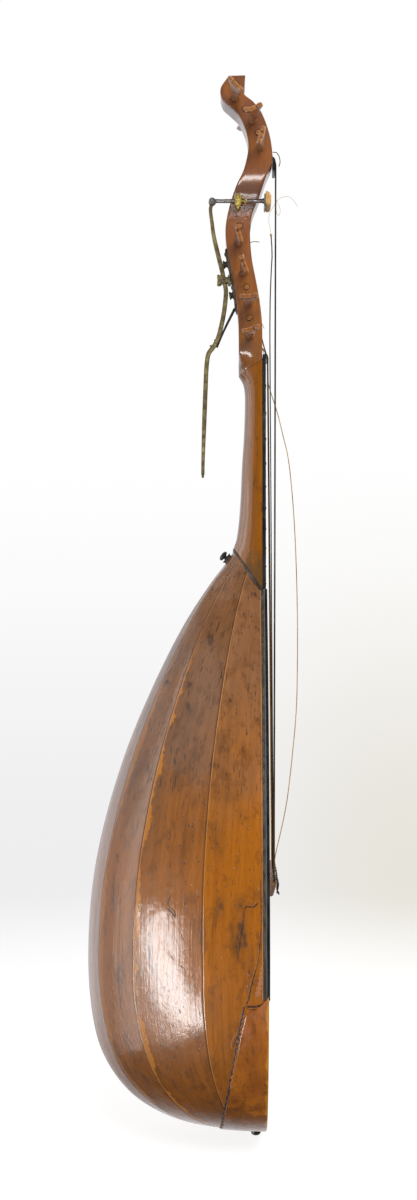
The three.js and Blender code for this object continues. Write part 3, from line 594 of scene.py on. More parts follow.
def binding_material():
    """Two black strips with a pale grey line painted between them as a highlight, browned on the rib
    side.
    """
    s = Shader("binding_painted_highlight", {"Specular IOR Level": 0.5, "Coat Weight": 0.15,
                                 "Coat Roughness": 0.25})
    place = s.place()
    out = s.split(place)[0]
    wander = s.noise(place, (1, 1, 9), 3)
    out = s.calc("ADD", out, s.spread(wander, 0.3, 0.7, -0.0003, 0.0003))
    streak = s.noise(place, (300, 300, 20), 5, 0.6)
    black = s.mix(s.spread(streak, 0.3, 0.7), (16, 15, 15), (44, 40, 38))
    brown = s.mix(s.spread(streak, 0.3, 0.7), (52, 46, 38), (92, 82, 66))
    s.colour = s.mix(s.spread(out, 0.0082, 0.0088), brown, black)
    # Painted highlight: a pale bluish grey line along the black binding.
    painted_highlight_line = s.calc("ABSOLUTE", s.calc("SUBTRACT", out, 0.0090))
    s.tint(painted_highlight_line, 0.0006, 0.0002, 0.7, (112, 118, 124))
    return s.finish(s.spread(streak, 0.3, 0.7, 0.34, 0.52), s.bump((streak, 0.04)))


def wood_material(name, light, mid, dark, along, coat=0.5, roughness=0.34,
                  stains=0.5, specular=0.5, worn=None):
    """Varnished or bare wood whose grain runs along X, Y or Z; `worn` may change its colour."""
    s = Shader(name, {"Specular IOR Level": specular, "Coat Weight": coat,
                      "Coat Roughness": 0.12, "Coat IOR": 1.5})
    place = s.place()

    def grained(across, lengthwise):
        sizes = [across] * 3
        sizes["XYZ".index(along)] = lengthwise
        return tuple(sizes)

    clouds = s.noise(place, grained(26, 9), 4, 0.6)
    s.colour = s.mix(s.spread(clouds, 0.35, 0.68), mid, light)
    streak = s.noise(place, grained(230, 9), 5, 0.62)
    s.tint(streak, 0.48, 0.78, 0.75, dark)
    fibre = s.noise(place, grained(1300, 40), 4, 0.7)
    s.shade(fibre, 0.86, 1.10)
    blot = s.noise(place, grained(60, 26), 6, 0.7)
    s.tint(blot, 0.60, 0.72, stains, (52, 34, 24))
    if worn:
        worn(s, place)
    rough = s.spread(streak, 0.25, 0.75, roughness - 0.05, roughness + 0.08)
    normal = s.bump((streak, 0.08), (fibre, 0.03), (s.noise(place, 90, 3), 0.05))
    return s.finish(rough, normal)


def spruce_material():
    """Old soundboard spruce: fine straight lines, toned honey, dirt near the bridge."""
    s = Shader("aged_spruce", {"Specular IOR Level": 0.35, "Coat Weight": 0.12,
                               "Coat Roughness": 0.3})
    place = s.place()
    lines = s.noise(place, (3, 1150, 1.6), 3, 0.6)
    s.colour = s.mix(s.spread(lines, 0.30, 0.72), (206, 160, 98), (186, 136, 80))
    ray = s.noise(place, (40, 900, 60), 4, 0.6)
    s.shade(ray, 0.92, 1.06)
    clouds = s.noise(place, 7, 5, 0.65)
    s.tint(clouds, 0.46, 0.74, 0.55, (126, 80, 40))
    nick = s.noise(place, (60, 160, 50), 4, 0.6)
    dent = s.spread(nick, 0.68, 0.76)
    s.paint(s.times(dent, 0.7), (70, 44, 26))
    normal = s.bump((lines, 0.05), (dent, -0.15))
    return s.finish(s.spread(lines, 0.3, 0.7, 0.42, 0.56), normal)


def black_material(name, warm=0, shine=0.34, dusty=0.5):
    """Ebony or black-stained wood, greyed by dust and rubbed at the surface."""
    s = Shader(name, {"Specular IOR Level": 0.5, "Coat Weight": 0.25, "Coat Roughness": 0.2})
    place = s.place()
    streak = s.noise(place, (260, 260, 14), 5, 0.6)
    s.colour = s.mix(s.spread(streak, 0.3, 0.7), (20 + warm * 20, 18 + warm * 8, 18),
                   (52 + warm * 26, 48 + warm * 12, 48))
    dust = s.noise(place, 60, 6, 0.7)
    s.tint(dust, 0.5, 0.75, dusty, (104, 98, 92))
    scratch = s.noise(place, (900, 900, 30), 2)
    return s.finish(s.spread(dust, 0.3, 0.7, shine, shine + 0.2), s.bump((scratch, 0.03)))


def metal_material(name, bright, dull, tarnish, roughness=0.34, metallic=1, patina=0.5):
    """Old metal: bright where it is rubbed, tarnished in soft patches, with fine scratches."""
    s = Shader(name, {"Metallic": metallic, "Specular IOR Level": 0.5})
    place = s.place()
    patches = s.noise(place, 120, 6, 0.68)
    s.colour = s.mix(s.spread(patches, 0.36, 0.62), bright, dull)
    film = s.noise(place, 36, 6, 0.7)
    film = s.spread(film, 0.44, 0.66, 0, patina)
    s.paint(film, tarnish)
    scratch = s.noise(place, (1500, 1500, 90), 3, 0.6)
    rough = s.calc("ADD", s.spread(patches, 0.3, 0.7, roughness, roughness + 0.18),
                   s.times(film, 0.2))
    normal = s.bump((scratch, 0.012), (patches, 0.06))
    return s.finish(rough, normal)


def wound_material():
    """Fine wire wound round a string: a screw of bright and dark turns, tarnished in lengths."""
    s = Shader("wound_wire", {"Metallic": 0.75, "Specular IOR Level": 0.5})
    place = s.place()
    turns = s.wave(place, 300, 0.4, "Z")
    s.colour = s.mix(turns, (60, 54, 48), (138, 132, 124))
    lengths = s.noise(place, (200, 200, 9), 5, 0.7)
    s.tint(lengths, 0.42, 0.58, 0.85, (52, 40, 28))
    return s.finish(s.spread(lengths, 0.4, 0.6, 0.32, 0.55), s.bump((turns, 0.08)))


def gut_material():
    """Dry gut: cream, a little clear, twisted, with amber and grimy lengths."""
    s = Shader("dry_gut", {"Specular IOR Level": 0.5, "Subsurface Weight": 0.2,
                           "Subsurface Scale": 0.0008})
    place = s.place()
    lengths = s.noise(place, (120, 120, 26), 5, 0.65)
    s.colour = s.mix(s.spread(lengths, 0.35, 0.7), (198, 168, 104), (138, 104, 46))
    twist = s.wave(place, 420, 1, "DIAGONAL")
    s.shade(twist, 0.9, 1.06)
    return s.finish(s.spread(lengths, 0.3, 0.7, 0.34, 0.5), s.bump((twist, 0.05)))


def leather_material():
    """Tan leather on edge: a frayed, fibrous cut face with darker creases."""
    s = Shader("tan_leather", {"Specular IOR Level": 0.25, "Sheen Weight": 0.25,
                               "Sheen Roughness": 0.6})
    place = s.place()
    layers = s.noise(place, (700, 260, 190), 6, 0.72)
    s.colour = s.mix(s.spread(layers, 0.32, 0.68), (168, 118, 58), (226, 182, 116))
    crease = s.noise(place, (900, 300, 500), 4, 0.6)
    s.tint(crease, 0.60, 0.74, 0.7, (92, 60, 30))
    normal = s.bump((layers, 0.35), (crease, -0.3))
    return s.finish(s.spread(layers, 0.3, 0.7, 0.72, 0.9), normal)


def worn_clasp(s, place):
    """Pinker at the top, browner low down, and rubbed to bare gold along the front edge."""
    x, _, z = s.split(place)
    patches = s.noise(place, (91, 91, 33.8), 5, 0.65)
    level = s.calc("ADD", z, s.spread(patches, 0.3, 0.7, -0.035, 0.035))
    s.tint(level, 0.15, 0.20, 0.5, (186, 112, 74))
    s.tint(level, 0.095, 0.035, 0.6, (108, 62, 10))
    near = s.calc("ADD", x, s.spread(patches, 0.35, 0.65, -0.0016, 0.0016))
    s.tint(near, 0.0086, 0.0104, 0.8, (206, 142, 30))


RIB_WOOD = rib_material()
CLASP_WOOD = wood_material("clasp_wood", (184, 106, 14), (150, 82, 14), (92, 50, 16),
                           "Z", coat=0.6, roughness=0.3, stains=0.6, worn=worn_clasp)
NECK_WOOD = neck_material("neck_wood")
PEGBOX_WOOD = neck_material("pegbox_wood")
PEG_WOOD = peg_material()
BRIDGE_WOOD = wood_material("bridge_wood", (140, 106, 74), (116, 86, 58), (70, 52, 38), "Y",
                            coat=0.15, roughness=0.45, stains=0.4)
INNER_WOOD = wood_material("inner_wood", (206, 164, 108), (186, 140, 86), (140, 98, 56), "Y",
                           coat=0, roughness=0.6, stains=0.15, specular=0.3)
TORN_WOOD = wood_material("torn_wood", (196, 138, 84), (168, 108, 62), (104, 62, 36), "Z",
                          coat=0.1, roughness=0.6, stains=0.5)
BARE_WOOD = wood_material("bare_wood", (190, 126, 84), (176, 112, 70), (128, 78, 44), "Z",
                          coat=0.5, roughness=0.4, stains=0.3)
SPRUCE = spruce_material()
EBONY = black_material("ebony")
BINDING_BLACK = binding_material()
JOINT_BLACK = black_material("joint_black", warm=0.7, shine=0.4, dusty=0.8)
CRACK_DARK = black_material("crack_dark", warm=1, shine=0.6, dusty=0.2)
DARK_STEEL = metal_material("dark_steel", (96, 88, 76), (60, 53, 46), (44, 36, 28), 0.42,
                            metallic=0.7)
STEEL = metal_material("rubbed_steel", (176, 172, 170), (118, 110, 106), (58, 48, 42),
                       0.28, metallic=0.8, patina=0.6)
DULL_BRASS = metal_material("dull_brass", (140, 126, 86), (106, 93, 60), (68, 57, 36),
                            0.42, metallic=0.6, patina=0.6)
BRASS = metal_material("yellow_brass", (216, 194, 104), (184, 160, 76), (112, 88, 36),
                       0.28, metallic=0.6, patina=0.35)
SILVERED = metal_material("fret_metal", (206, 196, 170), (166, 150, 118), (90, 78, 56), 0.3)
WOUND = wound_material()
GUT = gut_material()
PAD_LEATHER = leather_material()


# ---------------------------------------------------------------- camera
CAMERA_PLACE = (-0.0256, -1.950, 0.6254)        # metres
CAMERA_TURN = 0.876                             # degrees to the left of straight on


def make_camera():
    """The viewpoint of the picture: level, 1.95 m away, square to the instrument's side."""
    data = bpy.data.cameras.new("picture_camera")
    data.lens = 50
    data.sensor_width = 36
    data.clip_start = 0.05
    data.clip_end = 50
    camera = bpy.data.objects.new("picture_camera", data)
    bpy.context.scene.collection.objects.link(camera)
    camera.location = CAMERA_PLACE
    camera.rotation_euler = (math.radians(90), 0, math.radians(CAMERA_TURN))
    bpy.context.scene.camera = camera


make_camera()


# ---------------------------------------------------------------- free cords
def add_cord(name, route, radius, material, slot, count=60,
             replaces=()):
    """A free string or thread on one smooth curve, at the length of its whole route."""
    points = even_points(route, count)
    cord = add_curve(name, points, radius, material, slot, replaces=replaces)
    return cord


SLACK_ROUTE = [
    (14.2, -15.5, 906), (13.6, -15, 893), (14.4, -14.5, 876), (18.5, -14, 862), (25.1, -13, 842),
    (31.2, -12, 817), (37, -11, 793), (42.8, -9, 741), (46.3, -6, 683), (48.3, -4, 614),
    (48.6, -2, 567), (47.8, 0, 509), (46.1, 0, 480), (43.8, 0, 456), (40.2, 0, 421),
    (35.4, 0, 385), (28.3, 0, 351), (23.4, 0, 330), (20.4, 0, 312),
]
TIED_ROUTE = [
    (STRING_HEIGHT, -37, BRIDGE_TOP + 0.4), (15.8, -33, 905), (15.7, -31, 935), (16.2, -29, 975),
    (17.4, -27.5, 1005), (18.4, -26, 1025), (17.2, -25, 1046),
]
KNOT = (17.2, -25, 1047)


def make_knot():
    """Three tight turns of gut thread round the broken string's end."""
    turns = [torus((KNOT[0], KNOT[1], KNOT[2] + lift), (tilt, 0.2, 1), 1.0, 0.42, 18, 6)
             for lift, tilt in ((-1.2, 0.3), (-0.4, -0.25), (0.4, 0.2))]
    return add_mesh("thread_knot", *merged(*turns), GUT, "gut", sharp=80)


knot = make_knot()
add_cord("slack_gut", SLACK_ROUTE, 0.55, GUT, "gut",
         replaces=["slack_gut_string"])
add_cord("tied_bass_string", TIED_ROUTE, 0.7, WOUND, "wound_string",
         replaces=["tied_diapason"])
add_cord("tie_thread", [KNOT, (16.4, -25.5, 1053), (14.6, -26, 1062), (15.2, -26.5, 1070),
                        (18.6, -27.5, 1077), (22.9, -28.7, 1084)],
         0.22, GUT, "gut", 24)
add_cord("loose_thread", [(22.9, -28.7, 1084), (27.5, -30, 1088), (33, -31, 1089.5),
                          (39, -32, 1088.5), (44, -32.5, 1083), (47.5, -33, 1077.5)],
         0.2, GUT, "gut", 24)
add_cord("thread_loop", [(23, -28.9, 1086), (26.2, -30, 1080), (27.6, -30.6, 1072),
                         (25.6, -30.4, 1067.5), (23.8, -29.6, 1071), (22.6, -28.9, 1078)],
         0.2, GUT, "gut", 24)


# ---------------------------------------------------------------- the bowl's surface
DEPTH_KNOTS = [
    (TAIL, 52), (20, 91), (34, 128), (56, 161.5), (80, 181.5), (110, 196), (145, 203.5),
    (220, 207.5), (320, 199), (430, 170.5), (520, 134.5), (600, 94), (650, 61), (668, 47),
    (690, 32.5),
]
CURVE_SHARES = np.linspace(0, 1, 6001)
CURVE_Z, CURVE_DEPTH = curve_at(DEPTH_KNOTS, CURVE_SHARES).T
upper_width = smooth([
    (WIDEST - 20, HALF_WIDTH - 1), (WIDEST + 20, HALF_WIDTH - 1), (300, 187), (400, 161),
    (500, 120), (580, 75), (JOINT_FRONT, 38), (700, 34),
])


def half_width(z):
    z = np.asarray(z, float)
    round_end = HALF_WIDTH * np.sqrt(np.maximum(0, 1 - ((WIDEST - z) / (WIDEST - TAIL)) ** 2))
    return np.where(z > WIDEST + 20, upper_width(z), round_end)


def middle_line(t):
    """Height and depth of the back's middle line at share t from tail to neck."""
    return np.interp(t, CURVE_SHARES, CURVE_Z), np.interp(t, CURVE_SHARES, CURVE_DEPTH)


def bowl_point(t, angle):
    """A point of the round bowl at share t along it and an angle round from the bass edge."""
    z, depth = middle_line(t)
    return np.stack(np.broadcast_arrays(
        BOARD_FACE - depth * np.sin(angle), -half_width(z) * np.cos(angle), z), axis=-1)


# Seams on the bass half: angle round from the soundboard at the widest place, and at the neck.
SEAMS = [(19.7, 23.5), (44.9, 49.0), (65.5, 68.5), (82.0, 83.0)]
RIBS = 9
TAIL_CROWDING = 0.34


def seam_angle(k, t):
    """Angle of seam k, from 0 at the bass edge to 9 at the treble edge, in radians."""
    z, depth = middle_line(t)
    if k > 4:
        return math.pi - seam_angle(RIBS - k, t)
    if k == 0:
        return np.arcsin(RIB_EDGE / depth)
    middle, neck = SEAMS[k - 1]
    down = np.maximum(0, (WIDEST - z) / (WIDEST - TAIL))
    up = np.maximum(0, (z - WIDEST) / (JOINT_FRONT - WIDEST))
    return np.radians(middle + (neck - middle) * up) * (1 - TAIL_CROWDING * down ** 2)


def rib_skin(k, t, share):
    """A point of rib k's outer face: share 0 at its lower-numbered seam, 1 at the other."""
    low, high = seam_angle(k, t), seam_angle(k + 1, t)
    curved = bowl_point(t, low + (high - low) * share)
    share = np.asarray(share, float)[..., None]
    flat = bowl_point(t, low) * (1 - share) + bowl_point(t, high) * share
    return curved + RIB_FLATNESS * (flat - curved)


def bowl_skin(t, angle):
    """The bowl's outer face at any angle, whichever rib is there."""
    t, angle = np.broadcast_arrays(np.asarray(t, float), np.asarray(angle, float))
    skin = bowl_point(t, angle)
    for k in range(RIBS):
        low, high = seam_angle(k, t), seam_angle(k + 1, t)
        here = (angle >= low) & (angle <= high)
        share = np.clip((angle - low) / (high - low), 0, 1)
        skin = np.where(here[..., None], rib_skin(k, t, share), skin)
    return skin


def outward(t, angle):
    """Unit normals of the round bowl."""
    step = 1e-3
    along = bowl_point(np.minimum(t + step, 1), angle) - bowl_point(np.maximum(t - step, 0), angle)
    around = bowl_point(t, angle + step) - bowl_point(t, angle - step)
    normal = np.cross(around, along)
    normal /= np.linalg.norm(normal, axis=-1, keepdims=True)
    inward = np.sum(normal * (bowl_point(t, angle) - np.array([0, 0, WIDEST])), axis=-1) < 0
    return np.where(inward[..., None], -normal, normal)


def joint_share(angle_at, lowered):
    """Where a line round the bowl meets the slanted neck joint, lowered by a distance."""
    low, high = 0.5, 1.0
    for _ in range(40):
        middle = (low + high) / 2
        z, depth = middle_line(middle)
        if z < JOINT_FRONT - lowered + JOINT_SLOPE * depth * math.sin(angle_at(middle)):
            low = middle
        else:
            high = middle
    return low


def below_joint(points, lowered):
    """Keeps a rib's top end clear of the dark strip at the neck joint."""
    top = JOINT_FRONT - lowered + JOINT_SLOPE * (BOARD_FACE - points[..., 0])
    points[..., 2] = np.minimum(points[..., 2], top)
    return points


# Old stains on the bass side, and in the last row the ribs darker just below the neck joint: x, z, how
# wide, how tall, how strong.
BASS_STAINS = [
    (-53, 582, 5, 9, 1.0), (-100, 531, 7, 6, 0.75), (-76, 529, 6, 6, 0.75), (-111, 505, 3, 4, 0.7),
    (-78, 508, 3, 5, 0.75), (-74, 501, 8, 8, 0.9), (-60, 501, 2, 4, 0.9), (-29, 514, 6, 4, 0.75),
    (-69, 471, 4, 4, 1.0), (-81, 465, 3, 3, 0.7), (-80, 453, 2, 8, 0.7), (-67, 457, 2, 5, 0.7),
    (-91, 447, 3, 7, 0.8), (-87, 435, 3, 8, 0.85), (-69, 407, 3, 5, 0.8), (-31, 412, 6, 8, 0.75),
    (-48, 447, 8, 6, 0.75), (-15, 462, 5, 9, 0.65), (-54, 381, 6, 4, 0.95), (-81, 385, 5, 12, 0.5),
    (-18, 394, 5, 4, 0.55), (-39, 467, 9, 18, 0.5), (-43, 420, 9, 16, 0.45),
    (-45, 366, 10, 26, 0.5), (-138, 474, 2, 4, 0.7), (-122, 438, 2, 8, 0.75),
    (-136, 402, 2, 7, 0.6), (-156, 338, 4, 6, 0.8), (-97, 356, 2, 3, 0.7), (-20, 300, 5, 10, 0.8),
    (-17, 272, 7, 26, 0.85), (-116, 250, 4, 30, 0.8), (-160, 300, 3, 30, 0.6),
    (-152, 210, 5, 18, 0.8), (-40, 300, 5, 10, 0.7), (-20, 268, 10, 30, 0.6),
    (-8, 240, 6, 26, 0.6), (-50, 190, 8, 18, 0.5), (-30, 150, 12, 24, 0.4), (-64, 160, 6, 14, 0.5),
    (-90, 140, 14, 14, 0.4), (-24, 70, 26, 20, 0.6), (-6, 40, 30, 16, 0.8),
    # Darker just below the neck joint.
    (-20, 656, 7, 5, 0.6), (-11, 645, 7, 5, 0.6), (-2, 632, 6, 6, 0.65), (-32, 658, 6, 6, 0.5),
]
TREBLE_SHIFT = 37.0


def stain_at(points):
    """How stained the surface is, 0 to 1. The treble side has the same marks, shifted along."""
    x, y, z = points[..., 0], points[..., 1], points[..., 2]
    total = np.zeros(x.shape)
    shift = np.where(y > 0, TREBLE_SHIFT, 0.0)
    for at_x, at_z, wide, tall, strong in BASS_STAINS:
        near = np.exp(-((x - at_x) / wide) ** 2 - ((z - at_z - shift) / tall) ** 2)
        total = np.maximum(total, strong * near)
    return total


# For ribs from the edge to the middle: how rubbed their seams are, and how much darker their wood is
# painted, partly for its own tone and partly as painted shade on the ribs that turn away from the
# light.
RUBBED = [0.15, 1.0, 0.6, 0.15, 0.15]
RIB_TONE_AND_SHADE = [0.0, 0.26, 0.12, 0.12, 0.12]


def make_rib(k):
    """One rib: a thin bent board, a little flat between its seams, with softened edges."""
    stations, across = 260, 26
    softened, soft_depth, gap = 1.1, 0.28, 0.05
    first_station = 0.004
    lowered = STRIP_RISE + 0.3
    share = (1 - np.cos(np.pi * np.arange(across + 1) / across)) / 2
    ends = np.array([
        joint_share(lambda t, s=s: float(seam_angle(k, t) * (1 - s) + seam_angle(k + 1, t) * s),
                    lowered) for s in share])
    shortest = joint_share(lambda t: float(seam_angle(0, t)), lowered)
    along = (np.arange(stations + 1) / stations) ** 1.2
    t = first_station + (shortest - first_station) * along[:, None]
    t = t + (ends - shortest)[None] * along[:, None] ** 9
    shares = np.broadcast_to(share, t.shape)
    outer = rib_skin(k, t, shares)
    angle = seam_angle(k, t) * (1 - shares) + seam_angle(k + 1, t) * shares
    normal = outward(t, angle)
    sides = [rib_skin(k, t[:, :1], shares[:, edge]) for edge in (slice(0, 1), slice(-1, None))]
    width = np.linalg.norm(sides[1] - sides[0], axis=-1)
    low, high = shares * width, (1 - shares) * width
    near = np.minimum(low, high)
    wobble = 0.16 * waves(outer[..., 2] / 17.0 + k, low / 9.0 + 2 * k, outer[..., 2] / 41.0)
    wobble *= smoothstep(near, 0, 8)
    dip = soft_depth * np.clip(1 - near / softened, 0, 1) ** 2
    inner = below_joint(outer - normal * RIB_THICK, lowered)
    outer = below_joint(outer + normal * (wobble - dip)[..., None], lowered)
    middle = outer[:, across // 2]
    length = np.concatenate([[0], np.cumsum(np.linalg.norm(np.diff(middle, axis=0), axis=1))])
    grain = np.stack(np.broadcast_arrays(low - width / 2, length[:, None], 90.0 * k), axis=-1) * MM
    edges = np.stack([np.maximum(low, gap) * MM, np.maximum(high, gap) * MM, stain_at(outer)],
                     axis=-1)
    from_edge = min(k, RIBS - 1 - k)
    wear = RUBBED[from_edge] * smoothstep(outer[..., 2], 600, 500)
    darker = np.full(wear.shape, RIB_TONE_AND_SHADE[from_edge])

    def both(values):
        doubled = np.concatenate([values, values[:, ::-1]], axis=1)
        return doubled.reshape(-1, 3) if values.ndim == 3 else doubled.ravel()
    add_mesh(f"bowl_rib_{k + 1}", *shell(outer, inner), RIB_WOOD, "bowl_wood",
             replaces=[f"rib_{k + 1}"],
             attributes={"grain": both(grain), "edges": both(edges), "wear": both(wear),
                         "darker": both(darker)})


for rib in range(RIBS):
    make_rib(rib)


# ---------------------------------------------------------------- capping strip round the tail
def clasp_reach(z):
    """How far behind the soundboard's face the capping strip reaches at height z."""
    return 24 + 29 * (np.maximum(0, CLASP_TOP - z) / (CLASP_TOP - TAIL)) ** 0.9


def make_clasp():
    """A strip bent round the tail over the rib ends, with a nibbled back edge."""
    stations, across = 150, 18
    thick, clear, nibble = 1.5, 0.05, 0.7
    top = float(np.interp(CLASP_TOP, CURVE_Z, CURVE_SHARES))
    share = np.linspace(1, 0, stations)
    t = np.maximum(top * share ** 1.5, 0.0016)
    rows_t = np.concatenate([t, t[::-1]])
    side = np.repeat([1.0, -1.0], stations)
    z, depth = middle_line(rows_t)
    z_step = np.arange(2 * stations)
    reach = clasp_reach(z) + nibble * waves(z_step * 0.31, z_step * 0.83, z_step * 1.7)
    reach = np.minimum(reach, depth * 0.995)
    spread = (1 - np.cos(np.pi * np.arange(across + 1) / across)) / 2
    angle = np.arcsin(np.clip((reach / depth)[:, None] * spread + 0.002, 0, 0.9999))
    slant = 0.0075 * (1 - 2.6 * spread ** 0.7) * (rows_t / top)[:, None] ** 8
    t_grid = np.broadcast_to(rows_t[:, None], angle.shape) + slant
    skin = bowl_skin(t_grid, angle)
    normal = outward(t_grid, angle)
    edge = np.minimum(spread, 1 - spread) * reach[:, None]
    dip = 0.5 * np.clip(1 - edge / 1.4, 0, 1) ** 2
    uneven = 0.14 * waves(z[:, None] / 7.0, 9 * spread[None], z[:, None] / 23.0)
    outer = skin + normal * (clear + thick - dip + uneven)[..., None]
    inner = skin + normal * clear
    for grid in (outer, inner):
        grid[..., 1] *= side[:, None]
        grid[..., 0] = np.minimum(grid[..., 0], BOARD_FACE + 0.2)
    add_mesh("tail_clasp", *shell(outer, inner), CLASP_WOOD, "bowl_wood", replaces=["end_clasp"])


make_clasp()


def on_bass_side(x, z, lift):
    """A point of the bass side at x and z, lifted off the surface."""
    t = np.interp(z, CURVE_Z, CURVE_SHARES)
    _, depth = middle_line(t)
    angle = np.arcsin(np.clip((BOARD_FACE - x) / depth, -1, 1))
    return bowl_skin(t, angle) + outward(t, angle) * np.asarray(lift)[..., None]


def add_crack(name, route, width, lift, material, rough):
    """A thin jagged sliver that follows the bass side's surface."""
    path = even_points(route, 12 * len(route))
    step = np.arange(len(path))
    path[:, 0] += rough * waves(step * 0.9, step * 2.3, step * 4.1)
    ahead = np.gradient(path, axis=0)
    ahead /= np.linalg.norm(ahead, axis=1, keepdims=True)
    across = np.stack([ahead[:, 1], -ahead[:, 0]], axis=1)
    ends = np.minimum(1, np.minimum(step, step[::-1]) / 4) ** 0.7 + 0.05
    half = width / 2 * ends * (1 + 0.45 * waves(step * 1.3, step * 3.7))
    left, right = path + across * half[:, None], path - across * half[:, None]
    corners = [(left, -0.35), (path, lift), (right, -0.35), (path, -0.9)]
    rings = np.stack([on_bass_side(line[:, 0], line[:, 1], np.full(len(path), height))
                      for line, height in corners], axis=1)
    add_mesh(name, *loft(rings), material, "bowl_wood", sharp=60)


def clasp_edge(low, high, offset, count=9):
    """Points along the capping strip's back edge on the bass side."""
    z = np.linspace(high, low, count)
    return [(BOARD_FACE - float(clasp_reach(v)) + offset, float(v)) for v in z]


CRACKS = [
    # name, points along it (x, z), width, lift above the surface, material, raggedness
    ("side_crack", [(3.0, 279), (1.6, 262), (-1.0, 242), (-6.8, 222), (-10.2, 206), (-12.4, 197)],
     2.0, 0.45, CRACK_DARK, 0.6),
    ("side_crack_rim", [(1.0, 262), (-1.4, 243), (-7.6, 223), (-10.6, 207)], 1.5, 0.6, TORN_WOOD, 0.6),
    ("side_bare_patch", [(5.0, 244), (3.0, 228), (-1.0, 206)], 9.0, 0.35, BARE_WOOD, 0.4),
    ("clasp_crack", clasp_edge(20, 197, -1.5), 3.2, 0.7, CRACK_DARK, 0.6),
    ("clasp_splinter", clasp_edge(96, 192, -0.3, 7), 2.3, 1.9, TORN_WOOD, 0.9),
    ("clasp_splinter_low", clasp_edge(26, 88, -0.3, 6), 1.8, 1.8, TORN_WOOD, 0.7),
    ("clasp_barb", [(-22, 168), (-26, 161), (-28.6, 154), (-28, 146)], 1.8, 0.6, TORN_WOOD, 0.6),
    ("clasp_barb_shadow", [(-20, 166), (-24, 158), (-26.6, 150)], 1.6, 0.5, CRACK_DARK, 0.6),
    ("clasp_top_crack", [(-13, 196.5), (-8, 196.3), (-1, 197.0), (5, 199.6), (10.6, 203.6)],
     2.2, 0.9, CRACK_DARK, 0.35),
    ("clasp_top_rim", [(-12, 195.0), (-7, 194.6), (0, 195.4), (5, 197.6)], 1.2, 1.8, TORN_WOOD, 0.35),
    ("branch_crack", [(0.2, 305), (-5, 300.5), (-12.4, 300.4), (-15, 298)], 1.5, 0.45, CRACK_DARK, 0.5),
    ("branch_chip", [(-2, 303.8), (-7, 302.0), (-12, 302.2)], 1.2, 0.5, TORN_WOOD, 0.5),
    ("long_split", [(-14.6, 298), (-17, 280), (-19.6, 262), (-23, 242)], 1.3, 0.4, CRACK_DARK, 0.3),
    ("edge_split", [(2.6, 330), (2.8, 305), (3.2, 280)], 1.2, 0.35, CRACK_DARK, 0.5),
    ("dent_one", [(-99, 293), (-94, 290), (-90, 285)], 2.2, 0.3, CRACK_DARK, 0.4),
    ("dent_one_tail", [(-95, 295), (-91, 291), (-89, 284)], 1.0, 0.3, CRACK_DARK, 0.6),
    ("dent_two", [(-84, 236), (-80, 232), (-77, 228)], 1.8, 0.3, CRACK_DARK, 0.6),
    ("dent_three", [(-83, 268), (-82, 265), (-80, 263)], 1.4, 0.3, CRACK_DARK, 0.5),
    ("dent_four", [(-95, 245), (-94, 243), (-92, 241)], 1.4, 0.3, CRACK_DARK, 0.5),
]
for crack in CRACKS:
    add_crack(*crack)


# ---------------------------------------------------------------- soundboard
def evaluated_mesh(piece):
    """A new mesh of what the piece looks like with its curve or modifiers worked out."""
    bpy.context.view_layer.update()
    return bpy.data.meshes.new_from_object(
        piece.evaluated_get(bpy.context.evaluated_depsgraph_get()))


def filled_plate(name, outline, holes, x_back, x_front, edge):
    """A flat plate of (y, z) outlines with holes, as vertices and faces."""
    data = bpy.data.curves.new(name, "CURVE")
    data.dimensions = "2D"
    data.fill_mode = "BOTH"
    data.extrude = (x_front - x_back) / 2 - edge
    data.bevel_depth = edge
    data.bevel_resolution = 1
    for loop in [outline, *holes]:
        spline = data.splines.new("POLY")
        spline.points.add(len(loop) - 1)
        for place, (y, z) in zip(spline.points, loop):
            place.co = (y, z, 0, 1)
        spline.use_cyclic_u = True
    helper = bpy.data.objects.new(name, data)
    bpy.context.scene.collection.objects.link(helper)
    mesh = evaluated_mesh(helper)
    made = bmesh.new()
    made.from_mesh(mesh)
    bmesh.ops.remove_doubles(made, verts=made.verts, dist=1e-4)
    made.to_mesh(mesh)
    made.free()
    middle = (x_back + x_front) / 2
    vertices = [(middle + v.co.z, v.co.x, v.co.y) for v in mesh.vertices]
    faces = [tuple(p.vertices) for p in mesh.polygons]
    bpy.data.objects.remove(helper)
    bpy.data.curves.remove(data)
    bpy.data.meshes.remove(mesh)
    return vertices, faces


def ring_yz(y, z, radius, count):
    """Points round a circle in the soundboard's plane."""
    turns = 2 * np.pi * np.arange(count) / count
    return [(y + radius * math.cos(t), z + radius * math.sin(t)) for t in turns]


def board_outline():
    """The soundboard's outline, a little inside the ribs' edges."""
    inset = 0.2
    middle, reach = (TAIL + JOINT_FRONT) / 2, (JOINT_FRONT - TAIL) / 2 - inset
    z = middle - reach * np.cos(np.linspace(0, math.pi, 120))
    y = half_width(z) - inset
    right = list(zip(y, z))
    return right + [(-a, b) for a, b in reversed(right[1:])]


add_mesh("spruce_board", *filled_plate("board", board_outline(),
         [ring_yz(0, ROSE_CENTRE, ROSE_RADIUS, 96)], BOARD_FACE - BOARD_THICK, BOARD_FACE, 0.15),
         SPRUCE, "spruce", replaces=["soundboard"])


def petal(distance_in, distance_out, wide, turn, count=14):
    """A pointed leaf-shaped hole, lying along a spoke of the rose."""
    loop = []
    for side in (1, -1):
        for k in range(count):
            share = k / count if side > 0 else 1 - k / count
            reach = distance_in + (distance_out - distance_in) * share
            offset = side * wide / 2 * math.sin(math.pi * share) ** 0.8
            loop.append((reach * math.cos(turn) - offset * math.sin(turn),
                         ROSE_CENTRE + reach * math.sin(turn) + offset * math.cos(turn)))
    return loop


